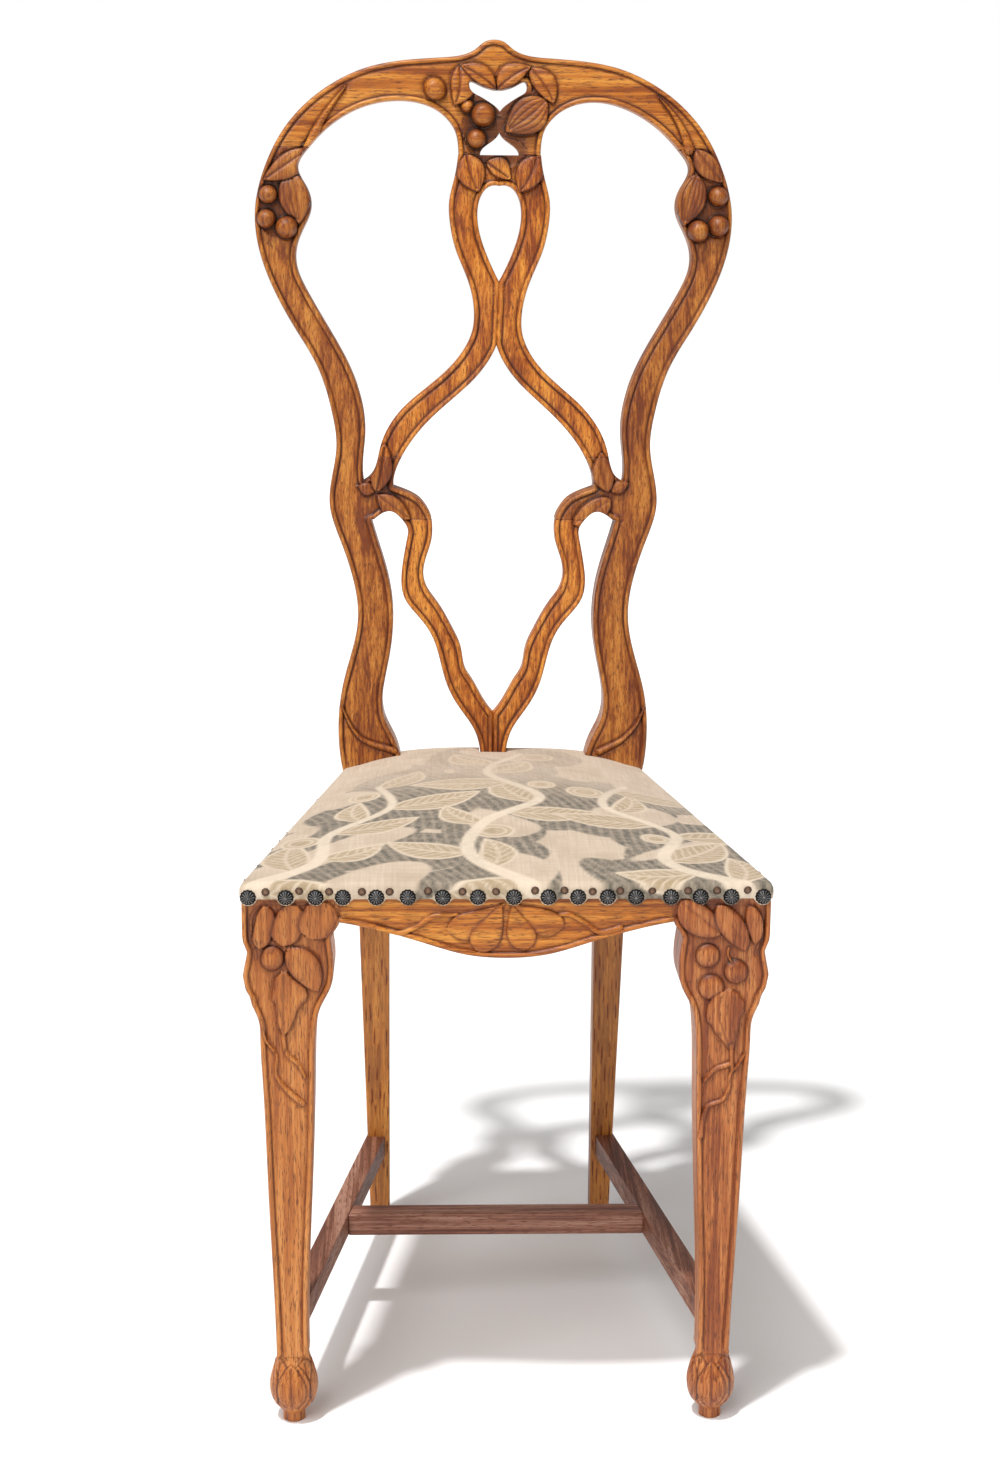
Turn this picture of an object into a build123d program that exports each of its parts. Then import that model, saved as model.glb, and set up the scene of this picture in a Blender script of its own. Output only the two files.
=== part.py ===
from build123d import *
import os
from math import radians, tan

# Driving dimensions, in millimetres and degrees

# Overall sizes
rail_top = 454             # top edges of the seat rails above the floor
seat_front_width = 412     # across the outer faces of the front legs
seat_depth = 390           # front legs' front face to back posts' front face
back_half_width = 218.5    # widest reach of the back from its middle
back_height = 664          # crest tip above the seat rails
back_rake = 8              # lean of the back, in degrees
rake_start = 20            # height above the rails where the lean begins

# Front legs
leg_block_width = 76       # carved block at the top, seen from the front
leg_block_depth = 46
leg_waist_depth = 38       # shaft where it leaves the block, seen from the side
leg_foot_depth = 27        # shaft just above the foot, seen from the side
leg_foot_setback = 6       # how far the front face leans back at the foot
bud_height = 62            # turned bud foot
bud_radius = 18.6
bud_neck_radius = 12.5
ankle_radius = 9
ankle_height = 8

# Back posts, crest and ribs
back_thickness = 24        # posts at their top, and the crest
rib_thickness = 20
post_depth = 34            # posts at the seat, seen from the side
rear_foot_depth = 26
rear_foot_splay = 14       # how far the rear feet stand behind the seat joint
knee_radius = 150          # easing of the posts' side view at its bends
rear_leg_taper_start = 36  # height below the rails where the rear legs narrow
crest_joint = 568          # post to crest, above the rails
bridge_joint = 562         # crest to upper ribs
branch_joint = 290         # upper ribs to the posts' branches
arch_joint = 233           # lower ribs to the posts' branches

# Seat rails
rail_thickness = 22
side_rail_height = 50
rear_rail_height = 50
apron_end_height = 29      # front rail where it meets the legs
apron_mid_height = 58      # front rail at the middle of its drop

# Stretchers
stretcher_bottom = 72
stretcher_height = 20
stretcher_width = 18
stretcher_front_x = 172    # middle of the side stretcher at the front leg
stretcher_rear_x = 108     # middle of the side stretcher at the rear leg
cross_stretcher_y = 225    # middle of the cross stretcher behind the front face
cross_stretcher_depth = 22

# Joints
tenon_thickness = 8
tenon_inset = 11           # rail's outer face to its tenon
tenon_length = 24
tenon_shoulder = 5         # rail edge to tenon edge
stretcher_tenon_height = 12
stretcher_tenon_length = 10
cross_tenon_length = 7
stem_tenon_width = 9       # half of the tenon under the lower ribs
stem_tenon_length = 20
dowel_radius = 4
dowel_length = 30
rib_dowel_radius = 3
rib_dowel_length = 26
crest_dowel_at = 85.0      # dowels across the back, in hundredths of its half width
bridge_dowel_at = 12.4
branch_dowel_at = 44.4
arch_dowel_at = 32.5
joint_clearance = 0.1

# Corner blocks and screws
block_reach = 36           # along a rail, past the leg
block_height = 22
block_drop = 4             # rail top to block top
screw_radius = 2
screw_head_radius = 4
screw_head_height = 3
screw_bite = 14            # length in the rail
screw_grip = 9             # length in the block
screw_offset = 16          # end of the rail's free length to the screw

# Upholstery
webbing_width = 48
webbing_thickness = 0.9
webbing_spread = 46        # middle of a lengthwise strap from the seat's middle
webbing_pitch = 95         # between crosswise straps
webbing_lap = 18           # length of a strap on its rail
hessian_thickness = 0.6
hessian_inset = 6
cover_thickness = 1.2
cover_clearance = 0.2
skirt_drop = 12            # cover's lower edge below the rail tops
pad_edge = 6               # pad's height at its edges
pad_round = 4              # easing of the pad's upper edges
pad_crowns = [(0, 2), (0.2, 12), (0.55, 20), (1, 17)]  # share of the depth, rise of the middle
nail_radius = 5.75
nail_dome = 3
nail_shank_radius = 0.9
nail_shank_length = 8
nail_drop = 7.5            # rail top to nail middle
nail_pitch = 24.7
nail_end_gap = 8.5
front_nail_stray = [-2.6, 1.7, 0, -3.6, -2.5, -2.9, -0.5, 1.9, 5.1, 7.1, 5.4, 3.7, 1.0, 3.4, 1.8, 1.0, 1.2]
tack_radius = 2.4
tack_dome = 1.4
tack_shank_radius = 0.6
tack_shank_length = 6
tack_drop = 2.8            # rail top to tack middle
webbing_tack_radius = 3
webbing_tack_head = 0.5

# Outlines of the back seen from the front: across in hundredths of its half width,
# up in hundredths of its height above the rails
stile_outer = [
    (63.6, 0), (65.6, 5.1), (64.4, 11.1), (58.6, 18.5), (57.3, 22.0), (59.3, 26.8), (64.8, 32.3),
    (69.1, 37.0), (67.6, 41.9), (66.3, 44.9), (68.5, 50.2), (73.7, 55.6), (83.3, 61.0), (92.4, 66.4),
    (98.4, 71.8), (100, 77.1), (96.1, 82.7), (87.9, 88.0), (76.7, 92.0), (64.5, 94.7), (54.9, 96.1),
    (34.5, 97.4), (22.0, 97.7), (11.9, 98.2), (8.1, 98.8), (4.2, 99.8), (0, 100)]
stile_inner = [
    (17.2, 83.7), (17.5, 86.4), (18.8, 88.0), (21.7, 89.4), (26.5, 90.7), (42.1, 91.9), (57.7, 90.7),
    (64.9, 89.4), (70.5, 88.0), (78.3, 85.3), (82.3, 82.9), (78.3, 80.0), (76.9, 77.1), (80.1, 74.5),
    (83.0, 71.8), (83.0, 69.7), (79.0, 66.4), (69.4, 61.0), (60.4, 55.6), (55.1, 50.2), (54.2, 46.8),
    (55.3, 42.3), (54.2, 38.6), (49.7, 32.8), (44.3, 26.8), (42.4, 21.5), (42.9, 18.5), (45.9, 13.0),
    (47.0, 10.2), (45.8, 7.4), (41.9, 4.7), (39.7, 2.6), (39.4, 0)]
rib_outer = [
    (17.2, 85.8), (17.7, 83.7), (19.1, 81.3), (21.0, 78.6), (20.7, 75.3), (18.3, 71.8), (14.9, 69.1),
    (11.8, 66.4), (10.0, 63.0), (10.3, 61.0), (13.5, 58.3), (19.8, 55.6), (29.1, 52.9), (38.4, 50.2),
    (44.7, 47.4), (48.1, 44.6), (50.5, 41.7), (56.5, 40.0)]
rib_loop = [
    (0, 67.5), (2.5, 69.1), (6.1, 71.8), (8.6, 74.5), (9.2, 77.3), (8.4, 78.6), (5.6, 80.1), (0, 80.5)]
rib_inner = [
    (0, 59.0), (2.9, 56.9), (9.1, 54.2), (17.8, 51.5), (26.8, 48.8), (34.2, 46.0), (39.3, 43.3),
    (42.1, 40.7), (42.3, 39.5)]
arch_under = [
    (55.5, 33.2), (48.5, 35.6), (43.5, 36.2), (38.7, 35.1), (36.2, 33.7), (36.6, 32.2), (38.1, 29.5),
    (38.9, 27.4), (38.6, 25.4), (37.3, 24.1), (34.3, 22.7), (27.4, 19.9), (23.8, 17.2), (21.5, 14.3),
    (18.7, 11.6), (13.6, 8.8), (7.9, 6.0), (5.7, 3.6), (5.7, 0)]
arch_over = [
    (0, 8.3), (4.3, 10.2), (9.2, 13.0), (11.7, 14.3), (13.6, 17.2), (17.2, 19.9), (22.0, 22.7), (25.0, 24.1),
    (27.8, 25.4), (29.5, 27.1), (28.8, 29.5), (26.2, 32.3), (25.8, 33.7), (26.2, 35.1), (28.3, 36.6),
    (31.3, 37.8), (36.6, 38.8), (42.3, 39.5)]
crest_piercing = [
    (0, 93.4), (4.2, 93.6), (8.6, 94.2), (11.6, 94.5), (12.0, 93.6), (8.6, 92.6), (5.0, 91.9), (0, 90.5)]
crest_notch = [(7.6, 83.7), (7.4, 85.4), (2.4, 86.7), (0, 87.8)]
lobe_middle = 42.1         # middle of the wide opening beside the ribs
arch_middle = 43.5         # middle of the arch over the narrow opening

# Rear leg seen from the front: across in hundredths of the back's half width
rear_leg_inner = 44.2
rear_leg_outer = 58.1
rear_foot_inner = 44.6
rear_foot_outer = 52.9

# Front leg seen from the front: millimetres in from its outer corner, hundredths of the height
# between the top of its bud foot and the rail tops
leg_outer = [
    (0, 89.0), (0.8, 86.2), (0.2, 81.9), (0.8, 78.8), (4.8, 76.8), (9.0, 74.6), (12.3, 72.4), (13.5, 68.4),
    (14.8, 59.9), (18.2, 34.2), (20.9, 16.8), (23, -0.8)]
leg_inner = [
    (69.2, 89.0), (70.9, 85.6), (70.6, 80.9), (68.2, 78.8), (64.2, 76.8), (60.2, 74.6), (58.2, 72.4),
    (56.6, 68.4), (55.5, 59.9), (52.1, 34.2), (49.2, 16.8), (48.5, -0.8)]
leg_waist = 72.4           # where the carved block has run out into the shaft
leg_block_end = 80.3       # where the carved block starts to narrow

# Bud foot: shares of its radius and height
bud_profile = [(0.92, 0.32), (1, 0.5), (0.78, 0.81)]

# Front rail's lower edge: shares of its half length and of its drop
apron_wave = [(1, 0), (0.77, 0.22), (0.48, 0.6), (0.25, 0.9), (0, 1)]

# Places that follow from the driving dimensions
front_half = seat_front_width / 2
front_reach = cover_clearance + cover_thickness + nail_dome
rear_reach = seat_depth + (back_height - rake_start) * tan(radians(back_rake)) + back_thickness
front_y = (front_reach - rear_reach) / 2
post_y = front_y + seat_depth
rear_rail_back = post_y + rail_thickness
rail_reach = 4 * seat_front_width
foot_x = front_half - (leg_outer[-1][0] + leg_inner[-1][0]) / 2
foot_y = front_y + leg_foot_setback + leg_foot_depth / 2
rear_foot_y = post_y + rear_foot_splay + rear_foot_depth / 2
apron_shoulder = front_half - leg_block_width
skirt_bottom = rail_top - skirt_drop


def leg_z(share):
    """A height on the front leg, between its bud foot and the rail tops."""
    return bud_height + share * (rail_top - bud_height) / 100


def back_x(share):
    """A distance across the back from its middle."""
    return share * back_half_width / 100


def back_point(x, z):
    """A point of the back seen from the front."""
    return (back_x(x), rail_top + z * back_height / 100)


def back_face(z):
    """How far back the front face of the back lies at a height."""
    return post_y + max(z - rail_top - rake_start, 0) * tan(radians(back_rake))


post_outer = back_x(stile_outer[0][0])
post_flare = back_x(stile_inner[-1][0])
stem_half = back_x(arch_under[-1][0])
crest_joint_z = rail_top + crest_joint
bridge_joint_z = rail_top + bridge_joint
branch_joint_z = rail_top + branch_joint
arch_joint_z = rail_top + arch_joint
crest_tip_z = rail_top + back_height

# Working planes: on each, x runs along the rail, y runs up and z points out of the seat
front_plane = Plane(origin=(0, front_y, 0), x_dir=(1, 0, 0), z_dir=(0, -1, 0))
rear_plane = Plane(origin=(0, post_y, 0), x_dir=(1, 0, 0), z_dir=(0, -1, 0))
side_run = Vector(post_outer - front_half, seat_depth, 0)
side_plane = Plane(
    origin=(front_half, front_y, 0), x_dir=side_run, z_dir=(side_run.Y, -side_run.X, 0))
stretcher_run = Vector(stretcher_rear_x - stretcher_front_x, rear_foot_y - foot_y, 0)
stretcher_plane = Plane(
    origin=(stretcher_front_x, foot_y, 0), x_dir=stretcher_run, z_dir=(stretcher_run.Y, -stretcher_run.X, 0))
cross_plane = Plane(
    origin=(0, front_y + cross_stretcher_y, 0), x_dir=(1, 0, 0), z_dir=(0, -1, 0))


def side_x(y):
    """Outer face of the right side rail, at a distance along the seat."""
    return front_half + (y - front_y) * side_run.X / side_run.Y


def keep(left, right, bottom, top):
    """Trims the current sketch to a box."""
    with Locations(((left + right) / 2, (bottom + top) / 2)):
        Rectangle(right - left, top - bottom, mode=Mode.INTERSECT)


def bar(plane, start, end, bottom, top, inset, thickness, grow=0, mode=Mode.ADD):
    """A straight bar behind a plane; grow widens it all round, for a mortise."""
    with BuildSketch(plane.offset(grow - inset)) as section:
        with Locations(((start + end) / 2, (bottom + top) / 2)):
            Rectangle(end - start + 2 * grow, top - bottom + 2 * grow)
    extrude(section.sketch, amount=-thickness - 2 * grow, mode=mode)


def outside_side(inset):
    """Cuts away what lies outside the right side of the seat, or outside a line inside it."""
    bar(side_plane, -rail_reach, rail_reach, 0, rail_top, -rail_reach, rail_reach + inset, mode=Mode.SUBTRACT)


def mirrored(piece):
    """The left-hand twin of a right-hand piece."""
    with BuildPart() as twin:
        mirror(piece.part, about=Plane.YZ)
    return twin


# Outlines of the back

def draw_stile():
    """Right half of the outer frame, post and crest in one."""
    with BuildLine() as outline:
        Spline(*[back_point(*p) for p in stile_outer])
        Polyline(back_point(*stile_outer[-1]), back_point(0, stile_inner[0][1]), back_point(*stile_inner[0]))
        Spline(*[back_point(*p) for p in stile_inner])
        Line(back_point(*stile_inner[-1]), back_point(*stile_outer[0]))
    make_face(outline.edges())


def draw_rib():
    """Right half of the inner tracery, upper rib, branch and lower rib in one."""
    with BuildLine() as outline:
        Spline(*[back_point(*p) for p in rib_outer])
        Line(back_point(*rib_outer[-1]), back_point(*arch_under[0]))
        Spline(*[back_point(*p) for p in arch_under])
        Polyline(back_point(*arch_under[-1]), back_point(0, arch_under[-1][1]), back_point(*arch_over[0]))
        Spline(*[back_point(*p) for p in arch_over])
        Spline(*[back_point(*p) for p in rib_inner])
        Line(back_point(*rib_inner[0]), back_point(*rib_loop[0]))
        Spline(*[back_point(*p) for p in rib_loop])
        Polyline(back_point(*rib_loop[-1]), back_point(0, rib_outer[0][1]), back_point(*rib_outer[0]))
    make_face(outline.edges())


def draw_side_view(thickness):
    """Side view of the raked crest and ribs."""
    knee = rail_top + rake_start
    with BuildLine() as outline:
        Polyline(
            (post_y, rail_top), (post_y, knee), (back_face(crest_tip_z), crest_tip_z),
            (back_face(crest_tip_z) + thickness, crest_tip_z), (post_y + thickness, knee),
            (post_y + thickness, rail_top), close=True)
    make_face(outline.edges())


def draw_post_side():
    """Side view of a back post, from its splayed foot to the raked crest joint."""
    low_knee = rail_top - side_rail_height - rear_leg_taper_start
    high_knee = rail_top + rake_start
    front = [
        (post_y + rear_foot_splay, 0), (post_y, low_knee), (post_y, high_knee),
        (back_face(crest_joint_z), crest_joint_z)]
    rear = [
        (post_y + rear_foot_splay + rear_foot_depth, 0), (post_y + post_depth, low_knee),
        (post_y + post_depth, high_knee), (back_face(crest_joint_z) + back_thickness, crest_joint_z)]
    with BuildLine() as outline:
        FilletPolyline(*front, radius=knee_radius)
        Line(front[-1], rear[-1])
        FilletPolyline(*rear, radius=knee_radius)
        Line(rear[0], front[0])
    make_face(outline.edges())


# Right front leg without its mortises: shaft, carved block and turned bud foot
with BuildPart() as front_leg_blank:
    shoulder = (front_half - leg_block_width, rail_top - apron_end_height)
    outer_edge = [(front_half - x, leg_z(z)) for x, z in leg_outer]
    inner_edge = [(front_half - x, leg_z(z)) for x, z in leg_inner]
    with BuildSketch(Plane.XZ):
        with BuildLine():
            Polyline(outer_edge[0], (front_half, rail_top), (shoulder[0], rail_top), shoulder, inner_edge[0])
            Spline(*inner_edge)
            Line(inner_edge[-1], outer_edge[-1])
            Spline(*outer_edge)
        make_face()
    extrude(amount=rail_reach, both=True)
    with BuildSketch(Plane.YZ):
        waist = leg_z(leg_waist)
        block_end = leg_z(leg_block_end)
        foot_front = front_y + leg_foot_setback
        with BuildLine():
            Polyline(
                (front_y, rail_top), (front_y, waist), (foot_front, 0), (foot_front + leg_foot_depth, 0),
                (front_y + leg_waist_depth, waist), (front_y + leg_block_depth, block_end),
                (front_y + leg_block_depth, rail_top), close=True)
        make_face()
    extrude(amount=rail_reach, both=True, mode=Mode.INTERSECT)
    with BuildSketch(Plane(origin=(foot_x, foot_y, 0), x_dir=(1, 0, 0), z_dir=(0, -1, 0))):
        with BuildLine():
            Polyline((0, bud_height), (0, 0), (ankle_radius, 0), (ankle_radius, ankle_height))
            Spline(
                (ankle_radius, ankle_height), *[(r * bud_radius, h * bud_height) for r, h in bud_profile],
                (bud_neck_radius, bud_height))
            Line((bud_neck_radius, bud_height), (0, bud_height))
        make_face()
    revolve(axis=Axis((foot_x, foot_y, 0), (0, 0, 1)))
    outside_side(0)

# Right back post without its mortises: rear leg, stile and the branch that carries the ribs
with BuildPart() as back_post_blank:
    with BuildSketch(Plane.XZ):
        draw_stile()
        keep(post_flare - joint_clearance, rail_reach, 0, crest_joint_z)
    extrude(amount=rail_reach, both=True)
    with BuildSketch(Plane.XZ):
        draw_rib()
        keep(0, rail_reach, arch_joint_z, branch_joint_z)
    extrude(amount=rail_reach, both=True)
    with BuildSketch(Plane.XZ):
        rail_foot = rail_top - side_rail_height
        with BuildLine():
            Polyline(
                (post_outer, rail_top), (post_outer, rail_foot),
                (back_x(rear_leg_outer), rail_foot - rear_leg_taper_start), (back_x(rear_foot_outer), 0),
                (back_x(rear_foot_inner), 0), (back_x(rear_leg_inner), rail_top), close=True)
        make_face()
    extrude(amount=rail_reach, both=True)
    with BuildSketch(Plane.YZ):
        draw_post_side()
    extrude(amount=rail_reach, both=True, mode=Mode.INTERSECT)

# Places of the joints
side_length = side_run.length
rail_tenon_start = leg_block_depth - tenon_length
rail_tenon_end = side_length + tenon_length
side_tenon = (rail_top - side_rail_height + tenon_shoulder, rail_top - tenon_shoulder)
rear_tenon = (rail_top - rear_rail_height + tenon_shoulder, rail_top - tenon_shoulder)
apron_tenon = (rail_top - apron_end_height + tenon_shoulder, rail_top - tenon_shoulder)
apron_tenon_end = apron_shoulder + tenon_length
rear_tenon_end = back_x(rear_leg_inner) + tenon_length - tenon_shoulder
stretcher_top = stretcher_bottom + stretcher_height
stretcher_middle = stretcher_bottom + stretcher_height / 2
stretcher_tenon = (
    stretcher_middle - stretcher_tenon_height / 2, stretcher_middle + stretcher_tenon_height / 2)
stretcher_tenon_start = leg_foot_depth / 2 - stretcher_tenon_length
stretcher_tenon_end = stretcher_run.length - rear_foot_depth / 2 + stretcher_tenon_length
stem_tenon_y = post_y + rib_thickness / 2
crest_dowel_places = [
    (back_x(crest_dowel_at), back_face(crest_joint_z) + back_thickness / 2, crest_joint_z),
    (back_x(bridge_dowel_at), back_face(bridge_joint_z) + rib_thickness / 2, bridge_joint_z)]
rib_dowel_places = [
    (back_x(branch_dowel_at), back_face(branch_joint_z) + rib_thickness / 2, branch_joint_z),
    (back_x(arch_dowel_at), back_face(arch_joint_z) + rib_thickness / 2, arch_joint_z)]


def side_tenon_bar(grow=0, mode=Mode.ADD):
    """The side rail's two tenons, as one tongue through its length."""
    bar(side_plane, rail_tenon_start, rail_tenon_end, *side_tenon, tenon_inset, tenon_thickness, grow, mode)


def apron_tenon_bar(grow=0, mode=Mode.ADD):
    """The front rail's two tenons, as one tongue through its length."""
    bar(front_plane, -apron_tenon_end, apron_tenon_end, *apron_tenon,
        tenon_inset, tenon_thickness, grow, mode)


def rear_tenon_bar(grow=0, mode=Mode.ADD):
    """The rear rail's two tenons, as one tongue through its length."""
    bar(rear_plane, -rear_tenon_end, rear_tenon_end, *rear_tenon, tenon_inset, tenon_thickness, grow, mode)


def stretcher_tenon_bar(grow=0, mode=Mode.ADD):
    """The side stretcher's two tenons, as one tongue through its length."""
    bar(stretcher_plane, stretcher_tenon_start, stretcher_tenon_end, *stretcher_tenon,
        -tenon_thickness / 2, tenon_thickness, grow, mode)


def dowel_holes(places, radius, length):
    """Round holes for the dowels of the current piece."""
    with Locations(*places):
        Cylinder(radius + joint_clearance, length + 2 * joint_clearance, mode=Mode.SUBTRACT)


# Nails and tacks: each place is a plane on the cover with z pointing out
cover_reach = cover_clearance + cover_thickness
nail_span = seat_front_width - 2 * nail_end_gap
front_nail_count = round(nail_span / nail_pitch) + 1
front_step = nail_span / (front_nail_count - 1)
side_nail_count = int((side_length - 2 * nail_end_gap) / nail_pitch)
nail_z = rail_top - nail_drop
tack_z = rail_top - tack_drop


def on_front(x, z):
    """A place on the cover's front face."""
    face = front_plane.offset(cover_reach)
    return face.shift_origin(face.from_local_coords((x, z, 0)))


def on_side(x, z):
    """A place on the cover's right side."""
    face = side_plane.offset(cover_reach)
    return face.shift_origin(face.from_local_coords((x, z, 0)))


def across(place):
    """The same place on the left side."""
    origin, out = place.origin, place.z_dir
    return Plane(origin=(-origin.X, origin.Y, origin.Z), z_dir=(-out.X, out.Y, out.Z))


front_nail_xs = [
    -nail_span / 2 + i * front_step + front_nail_stray[i % len(front_nail_stray)]
    for i in range(front_nail_count)]
front_nails = [on_front(x, nail_z) for x in front_nail_xs]
side_nails = [on_side(nail_end_gap + (i + 1) * nail_pitch, nail_z) for i in range(side_nail_count - 1)]
front_tacks = [on_front((a + b) / 2, tack_z) for a, b in zip(front_nail_xs, front_nail_xs[1:])]
side_tacks = [on_side(nail_end_gap + (i + 0.5) * nail_pitch, tack_z) for i in range(side_nail_count - 1)]
rear_face = Plane(origin=(0, rear_rail_back + cover_reach, 0), x_dir=(-1, 0, 0), z_dir=(0, 1, 0))
rear_tack_xs = [stem_half + (i + 0.5) * nail_pitch for i in range(int((post_flare - stem_half) / nail_pitch))]
rear_tacks = [
    rear_face.shift_origin(rear_face.from_local_coords((side * x, nail_z, 0)))
    for side in (-1, 1) for x in rear_tack_xs]
nail_places = front_nails + side_nails + [across(place) for place in side_nails]
tack_places = front_tacks + side_tacks + [across(place) for place in side_tacks] + rear_tacks


def shank_holes(places, radius, length):
    """Holes for the shanks of nails or tacks in the current piece."""
    with Locations(*[Location(place) for place in places]):
        Cylinder(
            radius + joint_clearance, length + joint_clearance,
            align=(Align.CENTER, Align.CENTER, Align.MAX), mode=Mode.SUBTRACT)


def nail_holes(places):
    """Holes for decorative nails."""
    shank_holes(places, nail_shank_radius, nail_shank_length)


def tack_holes(places):
    """Holes for tacks."""
    shank_holes(places, tack_shank_radius, tack_shank_length)


# Webbing: straps on the rails, and a place for each tack at their ends with z pointing up
strap_z = rail_top + webbing_thickness
cross_strap_z = rail_top + webbing_thickness + joint_clearance
strap_ends = (front_y + rail_thickness - webbing_lap, post_y + webbing_lap)
cross_strap_ys = [front_y + seat_depth / 2 + i * webbing_pitch for i in (-1, 0, 1)]
tack_step = webbing_width / 4


def cross_strap_half(y):
    """Half the length of a crosswise strap."""
    return side_x(y + webbing_width / 2) - rail_thickness + webbing_lap


front_strap_tacks = [
    Plane(origin=(x + step, strap_ends[0] + webbing_lap / 2, strap_z))
    for x in (-webbing_spread, webbing_spread) for step in (-tack_step, tack_step)]
rear_strap_tacks = [
    Plane(origin=(x + step, strap_ends[1] - webbing_lap / 2, strap_z))
    for x in (-webbing_spread, webbing_spread) for step in (-tack_step, tack_step)]
side_strap_tacks = [
    Plane(origin=(cross_strap_half(y) - webbing_lap / 2, y + step, cross_strap_z + webbing_thickness))
    for y in cross_strap_ys for step in (-tack_step, tack_step)]

# Corner blocks' screws: each place is on a rail's inner face with z pointing into the seat
block_top = rail_top - block_drop
screw_z = block_top - block_height / 2
inner_side = side_plane.offset(-rail_thickness)
front_screw = Plane(
    origin=(apron_shoulder - screw_offset, front_y + rail_thickness, screw_z), z_dir=(0, 1, 0))
rear_screw = Plane(origin=(back_x(rear_leg_inner) - screw_offset, post_y, screw_z), z_dir=(0, -1, 0))
side_screws = [
    Plane(origin=inner_side.from_local_coords((x, screw_z, 0)), x_dir=(0, 0, 1), z_dir=-side_plane.z_dir)
    for x in (leg_block_depth + screw_offset, side_length - screw_offset)]
screw_places = [front_screw, rear_screw] + side_screws


def screw_holes(places):
    """Clearance holes and head recesses for the corner screws."""
    with Locations(*[Location(place) for place in places]):
        with Locations((0, 0, (screw_grip - screw_bite) / 2)):
            Cylinder(
                screw_radius + joint_clearance, screw_grip + screw_bite + joint_clearance, mode=Mode.SUBTRACT)
        with Locations((0, 0, screw_grip)):
            Cylinder(
                screw_head_radius + joint_clearance, block_reach,
                align=(Align.CENTER, Align.CENTER, Align.MIN), mode=Mode.SUBTRACT)


# Seat rails
with BuildPart() as front_seat_rail:
    half = front_half - leg_block_width / 2
    drop = apron_mid_height - apron_end_height
    bottom = rail_top - apron_end_height
    with BuildSketch(front_plane):
        edge = [(x * apron_shoulder, bottom - y * drop) for x, y in apron_wave]
        with BuildLine():
            Polyline(
                edge[0], (half, bottom), (half, rail_top), (-half, rail_top), (-half, bottom),
                (-apron_shoulder, bottom))
            Spline(*edge, *[(-x, y) for x, y in edge[-2::-1]])
        make_face()
    extrude(amount=-rail_thickness)
    add(front_leg_blank.part, mode=Mode.SUBTRACT)
    add(mirrored(front_leg_blank).part, mode=Mode.SUBTRACT)
    apron_tenon_bar()
    nail_holes(front_nails)
    tack_holes(front_tacks + front_strap_tacks)
    screw_holes([front_screw, across(front_screw)])

with BuildPart() as right_seat_rail:
    bar(side_plane, leg_block_depth / 2, side_length + post_depth / 2,
        rail_top - side_rail_height, rail_top, 0, rail_thickness)
    add(front_leg_blank.part, mode=Mode.SUBTRACT)
    add(back_post_blank.part, mode=Mode.SUBTRACT)
    side_tenon_bar()
    nail_holes(side_nails)
    tack_holes(side_tacks + side_strap_tacks)
    screw_holes(side_screws)

with BuildPart() as rear_seat_rail:
    inner = back_x(rear_leg_inner) + rail_thickness / 2
    bar(rear_plane, -inner, inner, rail_top - rear_rail_height, rail_top, 0, rail_thickness)
    add(back_post_blank.part, mode=Mode.SUBTRACT)
    add(mirrored(back_post_blank).part, mode=Mode.SUBTRACT)
    rear_tenon_bar()
    with Locations((0, stem_tenon_y, rail_top)):
        Box(2 * (stem_tenon_width + joint_clearance), tenon_thickness + 2 * joint_clearance,
            2 * (stem_tenon_length + joint_clearance), mode=Mode.SUBTRACT)
    tack_holes(rear_tacks + rear_strap_tacks)
    screw_holes([rear_screw, across(rear_screw)])

# Stretchers
with BuildPart() as side_stretcher_blank:
    bar(stretcher_plane, 0, stretcher_run.length, stretcher_bottom, stretcher_top,
        -stretcher_width / 2, stretcher_width)
    add(front_leg_blank.part, mode=Mode.SUBTRACT)
    add(back_post_blank.part, mode=Mode.SUBTRACT)

stretcher_share = (front_y + cross_stretcher_y - foot_y) / stretcher_run.Y
cross_half = stretcher_front_x + stretcher_share * stretcher_run.X
cross_tenon_end = cross_half - stretcher_width / 2 + cross_tenon_length


def cross_tenon_bar(grow=0, mode=Mode.ADD):
    """The cross stretcher's two tenons, as one tongue through its length."""
    bar(cross_plane, -cross_tenon_end, cross_tenon_end, *stretcher_tenon,
        -tenon_thickness / 2, tenon_thickness, grow, mode)


with BuildPart() as right_side_stretcher:
    add(side_stretcher_blank.part)
    stretcher_tenon_bar()
    cross_tenon_bar(joint_clearance, Mode.SUBTRACT)

with BuildPart() as cross_stretcher:
    bar(cross_plane, -cross_half, cross_half, stretcher_bottom, stretcher_top,
        -cross_stretcher_depth / 2, cross_stretcher_depth)
    add(side_stretcher_blank.part, mode=Mode.SUBTRACT)
    add(mirrored(side_stretcher_blank).part, mode=Mode.SUBTRACT)
    cross_tenon_bar()

# Legs and posts with their mortises
with BuildPart() as jointed_front_leg:
    add(front_leg_blank.part)
    apron_tenon_bar(joint_clearance, Mode.SUBTRACT)
    side_tenon_bar(joint_clearance, Mode.SUBTRACT)
    stretcher_tenon_bar(joint_clearance, Mode.SUBTRACT)
    nail_holes(side_nails)
    tack_holes(side_tacks)

with BuildPart() as right_front_leg:
    add(jointed_front_leg.part)
    nail_holes(front_nails)
    tack_holes(front_tacks)

with BuildPart() as left_front_leg:
    add(mirrored(jointed_front_leg).part)
    nail_holes(front_nails)
    tack_holes(front_tacks)

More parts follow.
